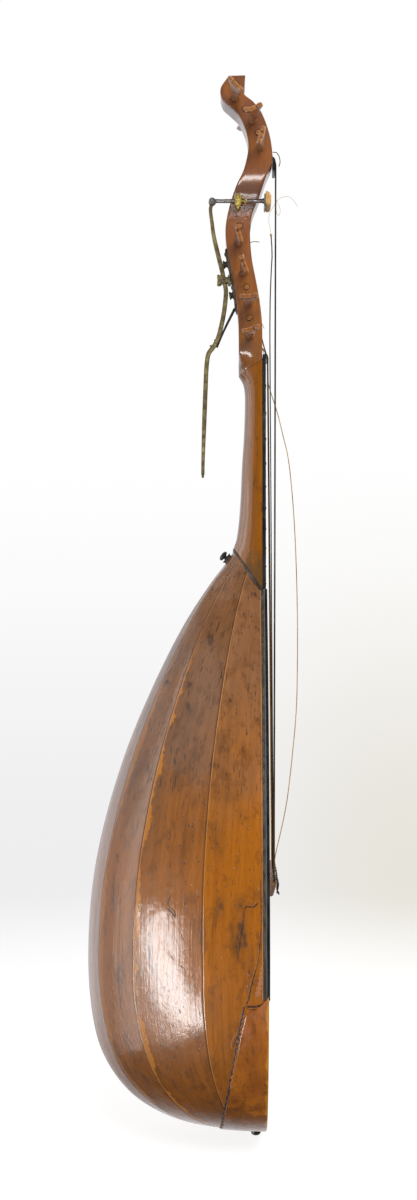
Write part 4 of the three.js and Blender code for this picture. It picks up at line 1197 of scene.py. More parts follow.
def make_rose():
    """A cut rose: a star of leaf-shaped openings in rings, inside a plain rim."""
    petals = 12
    holes = [ring_yz(0, ROSE_CENTRE, 3.2, 24)]
    for k in range(petals):
        turn = 2 * math.pi * k / petals
        half = turn + math.pi / petals
        holes.append(petal(5.2, 19.5, 4.2, turn))
        holes.append(petal(15, 30, 4.6, half))
        holes.append(ring_yz(26.5 * math.cos(turn), ROSE_CENTRE + 26.5 * math.sin(turn), 3.1, 18))
        holes.append(petal(31.5, 40.5, 5.2, turn))
        holes.append(ring_yz(36.5 * math.cos(half), ROSE_CENTRE + 36.5 * math.sin(half), 3.2, 18))
    add_mesh("cut_rose", *filled_plate("rose", ring_yz(0, ROSE_CENTRE, ROSE_RADIUS - 0.4, 96), holes,
             BOARD_FACE - 1.6, BOARD_FACE - 0.3, 0.25), SPRUCE, "spruce", replaces=["rose"])
    for name, clear in (("rose_inner_line", 2.4), ("rose_outer_line", 5.2)):
        ring = torus((BOARD_FACE + 0.05, 0, ROSE_CENTRE), (1, 0, 0), ROSE_RADIUS + clear, 0.4, 96, 8)
        add_mesh(name, *ring, EBONY, "black_wood")


make_rose()


# ---------------------------------------------------------------- bindings
def make_binding(side, name, node):
    """Black wood wrapped over the soundboard's edge, with a pale line along the front painted as a
    highlight.
    """
    z = np.linspace(BINDING_BOTTOM, BINDING_TOP, 120)
    slope = (half_width(z + 1) - half_width(z - 1)) / 2
    out_y, out_z = 1 / np.hypot(1, slope), -slope / np.hypot(1, slope)
    section = [
        (5.2, -0.3), (5.2, 0.55), (5.5, 0.9), (11.4, 1.0), (12.2, 0.75), (12.6, 0.1), (12.6, -2.8),
        (12.4, -3.2), (11.55, -3.2), (11.55, -0.3),
    ]
    strip = [(3.9, 0.35), (4.9, 0.45), (4.9, -0.5), (3.9, -0.5)]

    def swept(points):
        return loft([[(x, side * (half_width(h) + reach * oy), h + reach * oz)
                      for x, reach in points] for h, oy, oz in zip(z, out_y, out_z)])
    add_mesh(name, *swept(section), BINDING_BLACK, "black_wood", replaces=[node])
    add_mesh(f"{name}_strip", *swept(strip), TORN_WOOD, "bowl_wood")


make_binding(-1, "bass_edge_binding", "bass_binding")
make_binding(1, "treble_edge_binding", "treble_binding")


# ---------------------------------------------------------------- bridge
def make_bridge():
    """A low bridge with swept-down ends: a slanted front, thickest along its upper edge."""
    foot = BOARD_FACE + 0.05
    rings = []
    for share in np.linspace(-1, 1, 61):
        y = BRIDGE_HALF * share
        slim = 1 - 0.72 * smoothstep(abs(share), 0.86, 1.0)
        top = BRIDGE_TOP - 6.5 * smoothstep(abs(share), 0.9, 1.0)
        bottom = BRIDGE_BOTTOM + 4.5 * smoothstep(abs(share), 0.9, 1.0)
        height = BRIDGE_HEIGHT * slim
        rings.append([
            (foot, y, bottom), (foot + 0.50 * height, y, bottom),
            (foot + 0.60 * height, y, bottom + 0.8),
            (foot + 0.94 * height, y, top - 4.4), (foot + height, y, top - 3.2),
            (foot + 0.96 * height, y, top - 2.2), (foot + 0.80 * height, y, top - 0.3),
            (foot + 0.74 * height, y, top), (foot, y, top),
        ])
    add_mesh("lute_bridge", *loft(rings), BRIDGE_WOOD, "bridge_wood", replaces=["bridge"], sharp=30)


make_bridge()


def bridge_loop(name, y, radius, material, slot):
    """A string's turn round the bridge: up from its hole, over the edge and under itself."""
    r = radius + 0.25
    points = [(STRING_HEIGHT, y, BRIDGE_TOP + 0.6), (STRING_HEIGHT - 0.4, y, BRIDGE_TOP - 1.0),
              (STRING_HEIGHT + 2.2, y + 0.6, BRIDGE_TOP + 1.4), (24.2, y + 1.0, BRIDGE_TOP - 2.6),
              (24.0, y + 1.2, BRIDGE_TOP - 8.0), (22.2 + r, y + 1.5, BRIDGE_TOP - 12.0),
              (23.2, y + 1.8, BRIDGE_TOP - 14.5)]
    add_curve(name, even_points(points, 34), radius, material, slot)


# ---------------------------------------------------------------- neck, fingerboard and frets
neck_back = smooth([
    (640, 36), (684, 33), (700, 29.8), (726, 26.9), (755, 25), (794, 23.4), (832, 21), (874, 19.9),
    (888, 21.4), (896, 24.2), (NECK_TOP, 27.1),
])


def neck_half(z):
    """Half the width of the neck, which widens evenly towards the joint."""
    down = (NECK_TOP - z) / (NECK_TOP - JOINT_FRONT)
    return NECK_HALF_TOP + (NECK_HALF_FOOT - NECK_HALF_TOP) * down


def neck_ring(share, extra=0.0):
    """Half-round section at a share from the slanted joint to the slanted top."""
    heel = 684
    level = heel + (NECK_TOP - heel) * share
    ring = []
    for angle in np.linspace(0, math.pi, 49):
        x = NECK_FACE - (float(neck_back(level)) + extra) * math.sin(angle)
        joint = JOINT_FRONT + JOINT_SLOPE * (BOARD_FACE - x)
        top = NECK_TOP - NECK_TOP_SLOPE * (NECK_FACE - x)
        z = joint + (top - joint) * share
        ring.append((x, -(neck_half(z) + extra) * math.cos(angle), z))
    return ring


def make_neck():
    """The neck's shaft, and the dark strip that wraps its joint with the bowl."""
    add_mesh("neck_shaft", *loft([neck_ring(s) for s in np.linspace(0, 1, 70)]), NECK_WOOD,
             "neck_wood", replaces=["neck"])
    rings = []
    for drop, extra in ((7.2, 0.1), (6.6, 0.9), (3.4, 1.0), (0.6, 0.7), (0.1, 0.1)):
        ring = np.array(neck_ring(0, extra))
        widen = 1 + 0.35 * np.sin(np.linspace(0, math.pi, len(ring)))
        ring[:, 2] -= drop * widen * 0.8
        rings.append(ring)
    add_mesh("joint_strip", *loft(rings), JOINT_BLACK, "black_wood", replaces=["neck_joint_strip"])


make_neck()


def make_fingerboard():
    """A thin black board, hollowed a little between frets by wear, with its corners eased."""
    z_values = np.linspace(BOARD_END, NUT_BOTTOM - 0.3, 90)
    rings = []
    for z in z_values:
        half = float(neck_half(z)) - 0.3
        face = FINGERBOARD_FACE - 0.12 * (1 + math.sin(z * 0.21)) / 2
        rings.append([(NECK_FACE + 0.05, -half, z), (face - 0.5, -half, z), (face, -half + 0.7, z),
                      (face + 0.25, 0, z), (face, half - 0.7, z), (face - 0.5, half, z),
                      (NECK_FACE + 0.05, half, z)])
    add_mesh("black_fingerboard", *loft(rings), EBONY, "black_wood", replaces=["fingerboard"])


def make_frets():
    """Fixed metal frets across the fingerboard, at equal semitones of the open string."""
    bars = []
    for n in range(1, FRETS + 1):
        z = (NUT_BOTTOM + 2) - STRING_LENGTH * (1 - 2 ** (-n / 12))
        half = float(neck_half(z)) + 0.15
        section = [(0.55 * math.cos(a), z + 0.75 * math.sin(a))
                   for a in np.linspace(0, 2 * math.pi, 10)[:-1]]
        rings = [[(FINGERBOARD_FACE + crown + dx, y, dz) for dx, dz in section]
                 for y, crown in ((-half, -0.5), (-half + 0.6, 0.05), (0, 0.25), (half - 0.6, 0.05),
                                  (half, -0.5))]
        bars.append(loft(rings))
    add_mesh("frets", *merged(*bars), SILVERED, "brass", sharp=60)


make_fingerboard()
make_frets()


def make_nut():
    """The black nut, with a groove for each string that runs to the lower pegs."""
    grooves = [-19.0, 19.0, -9.0, 12.0, 2.0, -15.5]
    rings = []
    for y in np.linspace(-NUT_HALF, NUT_HALF, 105):
        cut = 0.7 * max(math.exp(-((y - g) / 0.7) ** 2) for g in grooves)
        face = NUT_FACE - cut
        rings.append([(NECK_FACE + 0.6, y, NUT_BOTTOM), (face - 0.8, y, NUT_BOTTOM),
                      (face, y, NUT_BOTTOM + 1), (face - 0.1, y, NUT_TOP - 2),
                      (face - 0.9, y, NUT_TOP - 0.8), (face - 2.4, y, NUT_TOP),
                      (NECK_FACE + 0.6, y, NUT_TOP)])
    add_mesh("black_nut", *loft(rings), EBONY, "black_wood", replaces=["nut"], sharp=50)


make_nut()


# ---------------------------------------------------------------- swan-necked pegbox
PEGBOX_BACK = [
    (-20.1, 886.4), (-20.4, 899), (-20.1, 917), (-20.7, 949), (-24.2, 981), (-29, 1006),
    (-33.8, 1031), (-35.5, 1055), (-31.5, 1078), (-23.3, 1102), (-14.5, 1120), (-9.7, 1140),
    (-9.6, 1153), (-13, 1167), (-20, 1182), (-30, 1192), (-39, 1201), (-41, 1214), (-32, 1228),
]
PEGBOX_FRONT = [
    (NECK_FACE, NECK_TOP + 0.5), (NECK_FACE, 906), (7.1, 918), (6.9, 945), (4, 972), (-0.5, 997),
    (-5, 1021), (-7, 1050), (-4.5, 1071.5), (3.5, 1091), (11.5, 1113), (18.3, 1129), (17.6, 1148),
    (13.3, 1167.5), (6, 1186), (-3, 1198), (-14.4, 1208), (-13.5, 1218), (-12.6, 1228.5),
]
PEGBOX_PAIRS = len(PEGBOX_BACK) - 1


def side_shift(z):
    """The upper pegbox leans over to the bass side."""
    return -PEGBOX_LEAN * smoothstep(z, 1060, 1128)


def pegbox_half(z):
    """Half the width of the pegbox, which narrows evenly upwards."""
    up = (z - PEGBOX_FOOT) / (PEGBOX_END - PEGBOX_FOOT)
    return PEGBOX_HALF_FOOT + (PEGBOX_HALF_END - PEGBOX_HALF_FOOT) * up


def pegbox_frames(first, last, behind, ahead, steps):
    """Back point, direction to the front and depth of sections between two stations."""
    shares = np.linspace(first, last, steps) / PEGBOX_PAIRS
    backs = curve_at(PEGBOX_BACK, shares, centripetal=False)
    fronts = curve_at(PEGBOX_FRONT, shares, centripetal=False)
    for back, front in zip(backs, fronts):
        length = np.linalg.norm(front - back)
        yield back + (front - back) * behind, (front - back) / length, length * (ahead - behind)


def trough_rings(first, last, behind, steps):
    """The hollow of the pegbox, open to the front, with its walls square to the cheeks."""
    rings = []
    for start, unit, deep in pegbox_frames(first, last, behind, 1.4, steps):
        half = float(pegbox_half(start[1])) - CHEEK
        ring = []
        for across, out in ((half, deep), (-half, deep), (-half, 0), (half, 0)):
            x, z = start + unit * out
            ring.append((x, float(side_shift(z)) + across, z))
        rings.append(ring)
    return rings


def pegbox_rings(steps):
    """Outer sections: round-backed like the neck at the foot, square from a little way up."""
    corner, round_until = 1.5, 1.5
    rings = []
    stations = np.linspace(0, PEGBOX_PAIRS, steps)
    for station, (start, unit, deep) in zip(stations, pegbox_frames(0, PEGBOX_PAIRS, 0, 1, steps)):
        middle = start + unit * deep / 2
        half = float(pegbox_half(middle[1]))
        ring = []
        for across, depth in rounded_section(2 * half, deep, corner, 3, 9):
            out = depth + deep / 2
            from_front = 1 - out / deep
            square = float(smoothstep(station, 0, round_until * (2.3 - from_front)))
            turn = math.atan2(from_front, abs(across) / half)
            round_across = math.copysign(half * math.cos(turn), across)
            round_out = deep * (1 - math.sin(turn))
            if from_front < 0.02:
                round_across, round_out = across, out
            across = round_across + (across - round_across) * square
            out = round_out + (out - round_out) * square
            x, z = start + unit * out
            ring.append((x, float(side_shift(z)) + across, z))
        rings.append(ring)
    return rings


# Pegs: x and z of the hole, side of the head (-1 bass, 1 treble), and how far it is turned.
LOWER_PEGS = [
    (-6.8, 930.7, -1, 18), (-7.7, 951.3, 1, 20), (-8.6, 968, -1, 4), (-11, 987.1, 1, 140),
    (-14.4, 1004, -1, 109), (-15.5, 1022.9, 1, 65), (-20, 1038.6, -1, 105), (-18.6, 1058, 1, 100),
]
UPPER_PEGS = [
    (4.9, 1145.7, -1, 72), (2.6, 1162.2, 1, 75), (-3.5, 1176.6, -1, 22), (-12.5, 1189.6, 1, 30),
    (-23.8, 1203, -1, 134), (-23.6, 1218, 1, 130),
]
PEG_NAMES = ([f"lower_peg_{i + 1}" for i in range(len(LOWER_PEGS))]
             + [f"upper_peg_{i + 1}" for i in range(len(UPPER_PEGS))])


def cut_away(piece, tools):
    """Cuts closed tool skins out of a piece and keeps the result."""
    for vertices, faces in tools:
        mesh = finish_mesh("tool", vertices, faces, 30)
        tool = bpy.data.objects.new("tool", mesh)
        bpy.context.scene.collection.objects.link(tool)
        cut = piece.modifiers.new("cut", "BOOLEAN")
        cut.operation = "DIFFERENCE"
        cut.solver = "EXACT"
        cut.object = tool
        result = evaluated_mesh(piece)
        piece.modifiers.clear()
        piece.data = result
        bpy.data.objects.remove(tool)
        bpy.data.meshes.remove(mesh)
    piece.data.shade_smooth()
    piece.data.set_sharp_from_angle(angle=math.radians(35))


def make_pegbox():
    """The pegbox, with its two troughs and the peg holes cut out."""
    whole = loft(pegbox_rings(170))
    lower = loft(trough_rings(1.5, 7.6, 0.2, 60))
    upper = loft(trough_rings(11.3, 17.4, 0.16, 60))
    holes = [lathe([(PEG_HOLE, -60), (PEG_HOLE, 60)], (x, 0, z), (0, 1, 0), 32)
             for x, z, _, _ in LOWER_PEGS + UPPER_PEGS]
    piece = add_mesh("swan_pegbox", *whole, PEGBOX_WOOD, "pegbox_wood", replaces=["pegbox"])
    cut_away(piece, [lower, upper, merged(*holes)])


make_pegbox()


def make_upper_nut():
    """The small nut between the troughs, for the free bass strings."""
    middle = float(side_shift(1125))
    rings = []
    grooves = [-27.0, -10.0, -18.5]
    for y in np.linspace(middle - 17, middle + 17, 69):
        cut = 0.7 * max(math.exp(-((y - g) / 0.8) ** 2) for g in grooves)
        face = UPPER_NUT_FACE - cut
        rings.append([(18.9, y, 1133.5), (20.2, y, 1133.5), (20.8, y, 1132.6), (face, y, 1127),
                      (face, y, 1120.2), (face - 0.8, y, 1119.4), (18.9, y, 1119.4)])
    add_mesh("black_upper_nut", *loft(rings), EBONY, "black_wood", replaces=["upper_nut"], sharp=50)


make_upper_nut()


# ---------------------------------------------------------------- pegs
def peg_place(peg):
    """A function from the peg's own axes (head along +Y) to its place in the pegbox."""
    x, z, side, turn = peg
    seat = side * (float(pegbox_half(z)) + 0.5) + float(side_shift(z))
    c, s = math.cos(math.radians(turn)), math.sin(math.radians(turn))

    def placed(points):
        a, b, h = np.asarray(points, float).reshape(-1, 3).T
        a, h = a * c + h * s, -a * s + h * c
        if side < 0:
            a, b = -a, -b
        return np.stack([a + x, b + seat, h + z], axis=1)
    return placed


def head_outline():
    """Half of a peg head's outline, from the stem's foot round one ear to the dip between."""
    half = [(3.4, 3.2), (3.6, 8), (4.2, 14), (5.2, 22), (6.4, 30), (7.8, 37), (9.4, 43)]
    half += arc_points(7.1, 48.4, 3.6, -24, 150, 9)
    half += [(3.7, 48.0), (2.7, 47.8), (1.5, 49.0), (0.2, 49.4)]
    return np.array(half)


def make_peg_head():
    """A fan-shaped head with two round ears, softened all round. Returns skin and edge paint: pale
    rims, partly wear and partly painted highlight.
    """
    half = even_points(head_outline(), 40)
    outline = np.concatenate([half, half[::-1] * [-1, 1]])
    ahead = np.roll(outline, -1, axis=0) - np.roll(outline, 1, axis=0)
    inward = np.stack([-ahead[:, 1], ahead[:, 0]], axis=1)
    inward /= np.linalg.norm(inward, axis=1, keepdims=True)
    flat = smoothstep(outline[:, 1], 14, 34)
    layers = [(-1, 1.5), (-0.9, 0.7), (-0.62, 0.16), (0, 0), (0.62, 0.16), (0.9, 0.7), (1, 1.5)]
    rings = []
    worn = []
    for level, inset in layers:
        thick = 3.3 - 0.7 * flat
        ring = outline + inward * (inset * (0.8 + 0.2 * flat))[:, None]
        rings.append(np.stack([ring[:, 0], ring[:, 1], level * thick], axis=1))
        # Pale rims: partly wear, partly painted highlight.
        worn.append((1.0 if 0 < inset < 1 else 0.0) * smoothstep(outline[:, 1], 9, 18))
    for end in (0, -1):
        centre = rings[end] * [0.45, 0.9, 0.99] + [0, 0.32, 0]
        place = 0 if end == 0 else len(rings)
        rings.insert(place, centre)
        worn.insert(place, np.full(len(outline), -0.35))
    return loft(rings), np.concatenate(worn)


# Radius, height along the peg and paint of the edge there, pale above zero for wear and painted
# highlight, painted shade in the hollows below zero: the shaft's far end, then the collar.
TIP_PROFILE = [(0.5, 0, 0.3), (2.4, 0.1, 0.9), (3.0, 0.6, 0.4), (3.2, 1.6, 0.0)]
COLLAR_PROFILE = [
    (PEG_SHAFT, -0.2, -0.8), (4.4, 0.1, -0.6), (4.9, 0.5, 0.2), (5.0, 1.2, 1.0), (4.8, 1.9, 0.6),
    (4.1, 2.4, -0.7), (4.5, 2.9, 0.2), (4.6, 3.4, 0.8), (4.3, 3.9, 0.2), (4.0, 4.4, -0.5),
    (4.2, 6, 0.0), (4.3, 9, 0.0), (4.1, 12, 0.0), (3.3, 14.5, 0.0), (1.5, 15.5, 0.0),
]


def make_peg(name, peg):
    """A tapered shaft through both cheeks, a turned collar and a fan-shaped head."""
    through = 2 * float(pegbox_half(peg[1])) + 2.5
    profile = [(radius, lift - through, wear) for radius, lift, wear in TIP_PROFILE]
    profile += COLLAR_PROFILE
    segments = 36
    shaft = lathe([(radius, lift) for radius, lift, _ in profile], (0, 0, 0), (0, 1, 0), segments)
    shaft_edge_paint = np.repeat([wear for _, _, wear in profile], segments)
    head, head_edge_paint = make_peg_head()
    placed = peg_place(peg)
    skin = merged((placed(shaft[0]), shaft[1]), (placed(head[0]), head[1]))
    add_mesh(f"{name}_turned", *skin, PEG_WOOD, "peg_wood", body=name, replaces=[name], sharp=60,
             attributes={"worn": np.concatenate([shaft_edge_paint, head_edge_paint])})


for peg_name, peg in zip(PEG_NAMES, LOWER_PEGS + UPPER_PEGS):
    make_peg(peg_name, peg)


# ---------------------------------------------------------------- strings
def at_peg(peg, start, radius):
    """Where a string meets the front of its peg's shaft."""
    x, z = peg[0], peg[1]
    along = np.array([x - start[0], z - start[2]])
    along /= np.linalg.norm(along)
    middle = float(side_shift(z))
    y = middle + (start[1] - middle) * 0.75
    reach = PEG_SHAFT + radius + 0.1
    return (x + along[1] * reach, y, z - along[0] * reach)


def winding(name, peg, y, radius, material, slot, turns=4.5):
    """The string's turns round the shaft, which go round with the peg."""
    steps = int(turns * 14)
    reach = PEG_SHAFT + radius * 0.9
    points = []
    for k in range(steps + 1):
        turn = 2 * math.pi * turns * k / steps
        lift = 2.1 * radius * turns * k / steps
        points.append((peg[0] + reach * math.cos(turn), y + lift - radius,
                       peg[1] + reach * math.sin(turn)))
    add_curve(f"{name}_winding", points, radius, material, slot, body=name)


# Fretted strings: peg, y at the nut, y at the bridge, radius, wound or gut.
FRETTED = [(0, -19, -14, 0.6, True), (1, 19, 74, 0.35, False), (2, -9, 12, 0.5, True),
           (3, 12, 52, 0.35, False), (4, 2, 33, 0.45, False)]
for i, (peg, nut_y, bridge_y, radius, is_wound) in enumerate(FRETTED):
    look, slot = (WOUND, "wound_string") if is_wound else (GUT, "gut")
    over = (NUT_FACE + radius - 0.25, nut_y, NUT_BOTTOM + 1)
    behind = (NUT_FACE + radius - 0.9, nut_y, NUT_TOP - 0.8)
    end = at_peg(LOWER_PEGS[peg], behind, radius)
    add_curve(f"fretted_{i + 1}", [(STRING_HEIGHT, bridge_y, BRIDGE_TOP + 0.4), over, behind, end],
              radius, look, slot, replaces=[f"fretted_string_{i + 1}"])
    bridge_loop(f"fretted_{i + 1}_loop", bridge_y, radius, look, slot)
    winding(f"lower_peg_{peg + 1}", LOWER_PEGS[peg], end[1], radius, look, slot)

# Free bass strings: peg, y at the upper nut, y at the bridge, radius.
DIAPASONS = [(0, -27, -76, 0.75), (1, -10, -50, 0.6), (2, -18.5, -63, 0.7)]
for i, (peg, nut_y, bridge_y, radius) in enumerate(DIAPASONS):
    corner = (20.4 + radius, nut_y, 1134.2)
    end = at_peg(UPPER_PEGS[peg], corner, radius)
    add_curve(f"diapason_{i + 1}", [
        (STRING_HEIGHT, bridge_y, BRIDGE_TOP + 0.4), (UPPER_NUT_FACE + radius - 0.3, nut_y, 1119.4),
        (UPPER_NUT_FACE + radius - 0.3, nut_y, 1127), corner, end],
        radius, WOUND, "wound_string", replaces=[f"diapason_string_{i + 1}"])
    bridge_loop(f"diapason_{i + 1}_loop", bridge_y, radius, WOUND, "wound_string")
    winding(f"upper_peg_{peg + 1}", UPPER_PEGS[peg], end[1], radius, WOUND, "wound_string", 3.5)


CUT_ENDS = [
    # short ends left at a peg, nut or bridge: name, points, radius, material, slot
    ("cut_end_at_upper_nut", [(19.5, -22, 1143), (23.3, -23, 1142.5), (26.6, -23.5, 1137.5),
                              (27.6, -24, 1131), (26.3, -24, 1126)], 0.5, WOUND, "wound_string"),
    ("cut_end_middle", [(-7, -12, 1041), (-2, -12, 1042), (4.0, -12, 1041.4)],
     0.4, WOUND, "wound_string"),
    ("cut_end_low", [(1.5, -10, 955), (6.8, -11, 947), (9.6, -11, 941)], 0.35, GUT, "gut"),
    ("cut_end_at_bridge", [(22.4, -76, 296), (24.0, -76.4, 297.5), (24.9, -77, 294.5)],
     0.9, CRACK_DARK, "wound_string"),
]
for end_name, points, radius, look, slot in CUT_ENDS:
    add_curve(end_name, even_points(points, 20), radius, look, slot)


# ---------------------------------------------------------------- strap buttons
def make_buttons():
    """Turned strap buttons: one under the tail, and one on the back of the heel."""
    tail = lathe([(0.5, 0), (2.8, 0.15), (4.2, 0.8), (5.4, 2.0), (6.0, 3.8), (5.7, 5.2), (4.6, 6.6),
                  (3.6, 7.6), (3.4, 9.0), (3.4, 12), (0.5, 12)])
    add_mesh("tail_button", *tail, EBONY, "black_wood", replaces=["end_button"])
    base, out = (-34, 0, 674), (-0.82, 0, 0.572)
    heel = lathe([(0.5, -4), (5.4, -4), (5.8, -0.4), (6.5, 0), (6.6, 0.4), (6.4, 1.1), (2.8, 1.3),
                  (2.3, 1.9), (2.6, 2.6), (4.6, 3.0), (5.8, 3.9), (6.1, 4.9), (5.6, 6.2), (4.2, 7.2),
                  (2.4, 7.75), (0.5, 7.8)], base, out)
    add_mesh("heel_button", *heel, EBONY, "black_wood", replaces=["heel_knob"])


make_buttons()


# ---------------------------------------------------------------- damper mechanism
def screw(origin, axis, radius, tall):
    """A screw with a domed head."""
    return lathe([(radius * 0.55, -tall), (radius * 0.6, -0.4), (radius, -0.2),
                  (radius, radius * 0.25), (radius * 0.82, radius * 0.5),
                  (radius * 0.4, radius * 0.62), (0.1, radius * 0.65)], origin, axis, 28)


def make_back_plate():
    """The strip let on to the back of the pegbox, with two tall screws for the lever's stops."""
    shares = np.linspace(3.25, 6.05, 40) / PEGBOX_PAIRS
    edge = curve_at(PEGBOX_BACK, shares, centripetal=False)
    rings = []
    for i, (x, z) in enumerate(edge):
        from_middle = abs(i / 39 - 0.5)
        thick = 2.6 - 1.2 * smoothstep(from_middle, 0.44, 0.5) + 0.3 * waves(i * 0.7, i * 1.9)
        x -= 0.1
        half = 6 - 1.5 * smoothstep(from_middle, 0.46, 0.5)
        section = [(0, -half), (0, half), (thick - 0.4, half), (thick, half - 0.5),
                   (thick, 0.5 - half), (thick - 0.4, -half)]
        rings.append([(x - out, LEVER_Y + across, z) for out, across in section])
    parts = [loft(rings)]
    for x, z, tall in ((-32.5, 1015, 5.5), (-25.8, 979, 5)):
        parts.append(lathe([(4.4, 0), (4.5, 1.2), (3.4, 2.0), (3.4, tall - 2.0), (4.6, tall - 1.5),
                            (4.8, tall - 0.5), (4.2, tall + 0.2), (0.6, tall + 0.5)],
                           (x, LEVER_Y, z), (-1, 0, -0.15), 28))
    add_mesh("steel_back_plate", *merged(*parts), DARK_STEEL, "dark_steel", replaces=["back_plate"])
    heads = [screw((x, LEVER_Y, z), (-1, 0, -0.2), 2.3, 1.5)
             for x, z in ((-27.6, 987.5), (-35.4, 1026))]
    add_mesh("back_plate_screws", *merged(*heads), DARK_STEEL, "dark_steel")


def make_bracket():
    """A brass fork on the plate, with the pivot pin through its two ears."""
    bottom, top = 990.5, 1001.5
    front, back = FORK_SIDES
    ear_thick = 2.6
    foot = plate_xz([(-32.7, bottom), (-29.0, bottom), (-31.4, top), (-32.7, top)], front, back)
    ear = [(-32.2, bottom + 2.0), (-32.2, top - 2.2), (-35.5, top - 2.6), (-39.6, top - 2.0),
           (-41.6, top - 0.2), (-44.6, top + 0.5), (-45.3, top - 1.2), (-44.6, bottom + 4.6),
           (-45.4, bottom + 1.2), (-44.2, bottom - 0.2), (-41.2, bottom + 0.3),
           (-39.0, bottom + 2.4), (-35.5, bottom + 2.9)]
    ears = [plate_xz(ear, front, front + ear_thick), plate_xz(ear, back - ear_thick, back)]
    add_mesh("brass_fork", *merged(foot, *ears), DULL_BRASS, "dull_brass", replaces=["pivot_bracket"],
             bevel=0.5, sharp=30)
    x, _, z = LEVER_PIVOT
    pin = lathe([(0.5, -23.9), (1.5, -23.8), (2.1, -23.3), (2.1, -23.05), (1.4, -23.0), (1.4, -9.0),
                 (1.9, -8.95), (1.9, -8.6), (0.6, -8.4)], (x, 0, z), (0, 1, 0), 24)
    add_mesh("fork_pin", *pin, STEEL, "steel", replaces=["pivot_pin"])


# The lever's middle line: it comes in from its eye to the pivot, then runs down in one plane.
LEVER_ROUTE = [
    (EYE_X, EYE_Y, ROD_Z - 1), (-52.6, -30.3, 1076), (-50.9, -28, 1060), (-49, -24, 1046),
    (-43.4, -18, 1023), (-38.9, LEVER_Y, 1005), LEVER_PIVOT,
]
LEVER_ROUTE += [(x, LEVER_Y, z) for x, z in (
    (-35, 985), (-35.6, 972), (-37.4, 958), (-40.6, 942), (-44.2, 929), (-48.4, 920.5),
    (-54.9, 911.5), (-57, 901), (-58.7, 869), (-60.1, 831), (-61.4, 792), (-61.8, 767),
)]


def make_lever():
    """The long thumb lever: a filed bar, thickest at its pivot, with an eye at the top."""
    path = even_points(LEVER_ROUTE, 150)

    def section(share):
        thick = 4.0 + 1.2 * smoothstep(share, 0.02, 0.2) - 1.4 * smoothstep(share, 0.75, 1.0)
        wide = 4.3 + 0.5 * smoothstep(share, 0.5, 0.62)
        end = 1 - 0.5 * smoothstep(share, 0.985, 1.0)
        return rounded_section(wide * end, thick * end, 0.9 * end)
    bar = bar_along(path, section)
    eye = lathe([(2.7, -2.1), (3.9, -2.2), (4.2, -1.6), (4.2, 1.6), (3.9, 2.2), (2.7, 2.1)],
                (EYE_X, EYE_Y, ROD_Z), (0, 1, 0), 36)
    x, _, z = LEVER_PIVOT
    boss = lathe([(2.0, -4.0), (3.1, -4.0), (3.5, -3.5), (3.5, 3.5), (3.1, 4.0), (2.0, 4.0)],
                 (x, LEVER_Y, z), (0, 1, 0), 30)
    screws = [screw((x, LEVER_Y, z), (-0.72, 0, -0.69), 1.7, 1.2)
              for x, z in ((-47.5, 926.5), (-52.4, 920))]
    add_mesh("thumb_lever_bar", *merged(bar, eye, boss, *screws), DULL_BRASS, "dull_brass",
             body="thumb_lever", replaces=["thumb_lever"])


def make_spring():
    """A leaf spring from the plate down to the lever."""
    route = [(x, LEVER_Y, z) for x, z in ((-24.6, 963.5), (-29.6, 953.5), (-34.6, 943.5),
                                          (-39.2, 933.5), (-42.6, 925.3), (-45.3, 918.3))]
    path = even_points(route, 40)
    bar = bar_along(path, lambda share: rounded_section(4.0, 3.0 - 1.1 * share, 0.4))
    add_mesh("black_leaf_spring", *bar, DARK_STEEL, "dark_steel", replaces=["leaf_spring"],
             blend=("instrument", "thumb_lever", tuple(np.array(route[0]) * MM),
                    tuple(np.array(route[-1]) * MM)))


def make_push_rod():
    """The steel rod, filed to a round knuckle with a riveted pin, and the plate it carries."""
    rod = lathe([(1.0, 0), (2.3, 0.1), (2.5, 1.0), (2.25, 9), (2.45, 26), (2.6, 44), (2.5, 58),
                 (2.5, 60.6)], (EYE_X, ROD_Y, ROD_Z), (1, 0, 0), 28)
    knuckle = lathe([(0.6, -38.9), (2.0, -38.9), (2.1, -38.5), (3.3, -38.4), (3.8, -37.8),
                     (3.8, -34.2), (3.3, -33.4), (1.0, -33.4), (1.0, -27.7), (0.5, -27.6)],
                    (EYE_X, 0, ROD_Z), (0, 1, 0), 32)
    ring = torus((EYE_X, -38.6, ROD_Z), (0, 1, 0), 2.5, 0.5, 28, 8)
    plate = plate_xz([(9.2, 1078), (10.5, 1077.6), (10.5, 1091), (9.2, 1090.6)], -41, -3)
    collar = lathe([(2.4, 57.5), (2.9, 57.7), (3.1, 58.2), (3.1, 59.4), (2.4, 60)],
                   (EYE_X, ROD_Y, ROD_Z), (1, 0, 0), 28)
    add_mesh("damper_rod", *merged(rod, knuckle, ring, plate, collar), STEEL, "steel",
             body="push_rod", replaces=["push_rod"])


def make_pad():
    """Folded leather: bevelled at the top, round at the bottom, frayed along its face."""
    outline = even_points([
        (PAD_BACK, 1079.4), (11.6, 1078.3), (13.2, 1077.9), (15.2, 1078.3), (16.6, 1080.2),
        (17.1, 1084), (17.0, 1088.2), (15.6, 1091.8), (13.2, 1093.6), (11.4, 1093.9),
        (PAD_BACK, 1092.6)], 60)
    middle = 1086
    rings = []
    for i, y in enumerate(np.linspace(-41.5, -2.5, 60)):
        pull = 1 - 0.12 * smoothstep(abs(i / 59 - 0.5), 0.47, 0.5)
        ring = []
        for k, (x, z) in enumerate(outline):
            fray = 0.28 * waves(k * 1.9 + i * 0.3, i * 1.3 + k * 0.2, k * 4.7 + i * 2.9)
            fray *= smoothstep(x, 11.2, 13.5)
            ring.append((PAD_BACK + (x - PAD_BACK) * pull + fray, y,
                         middle + (z - middle) * pull + 0.5 * fray))
        rings.append(ring)
    pad = add_mesh("leather_damper", *loft(rings), PAD_LEATHER, "leather", body="push_rod",
                   replaces=["damper_pad"], sharp=70)


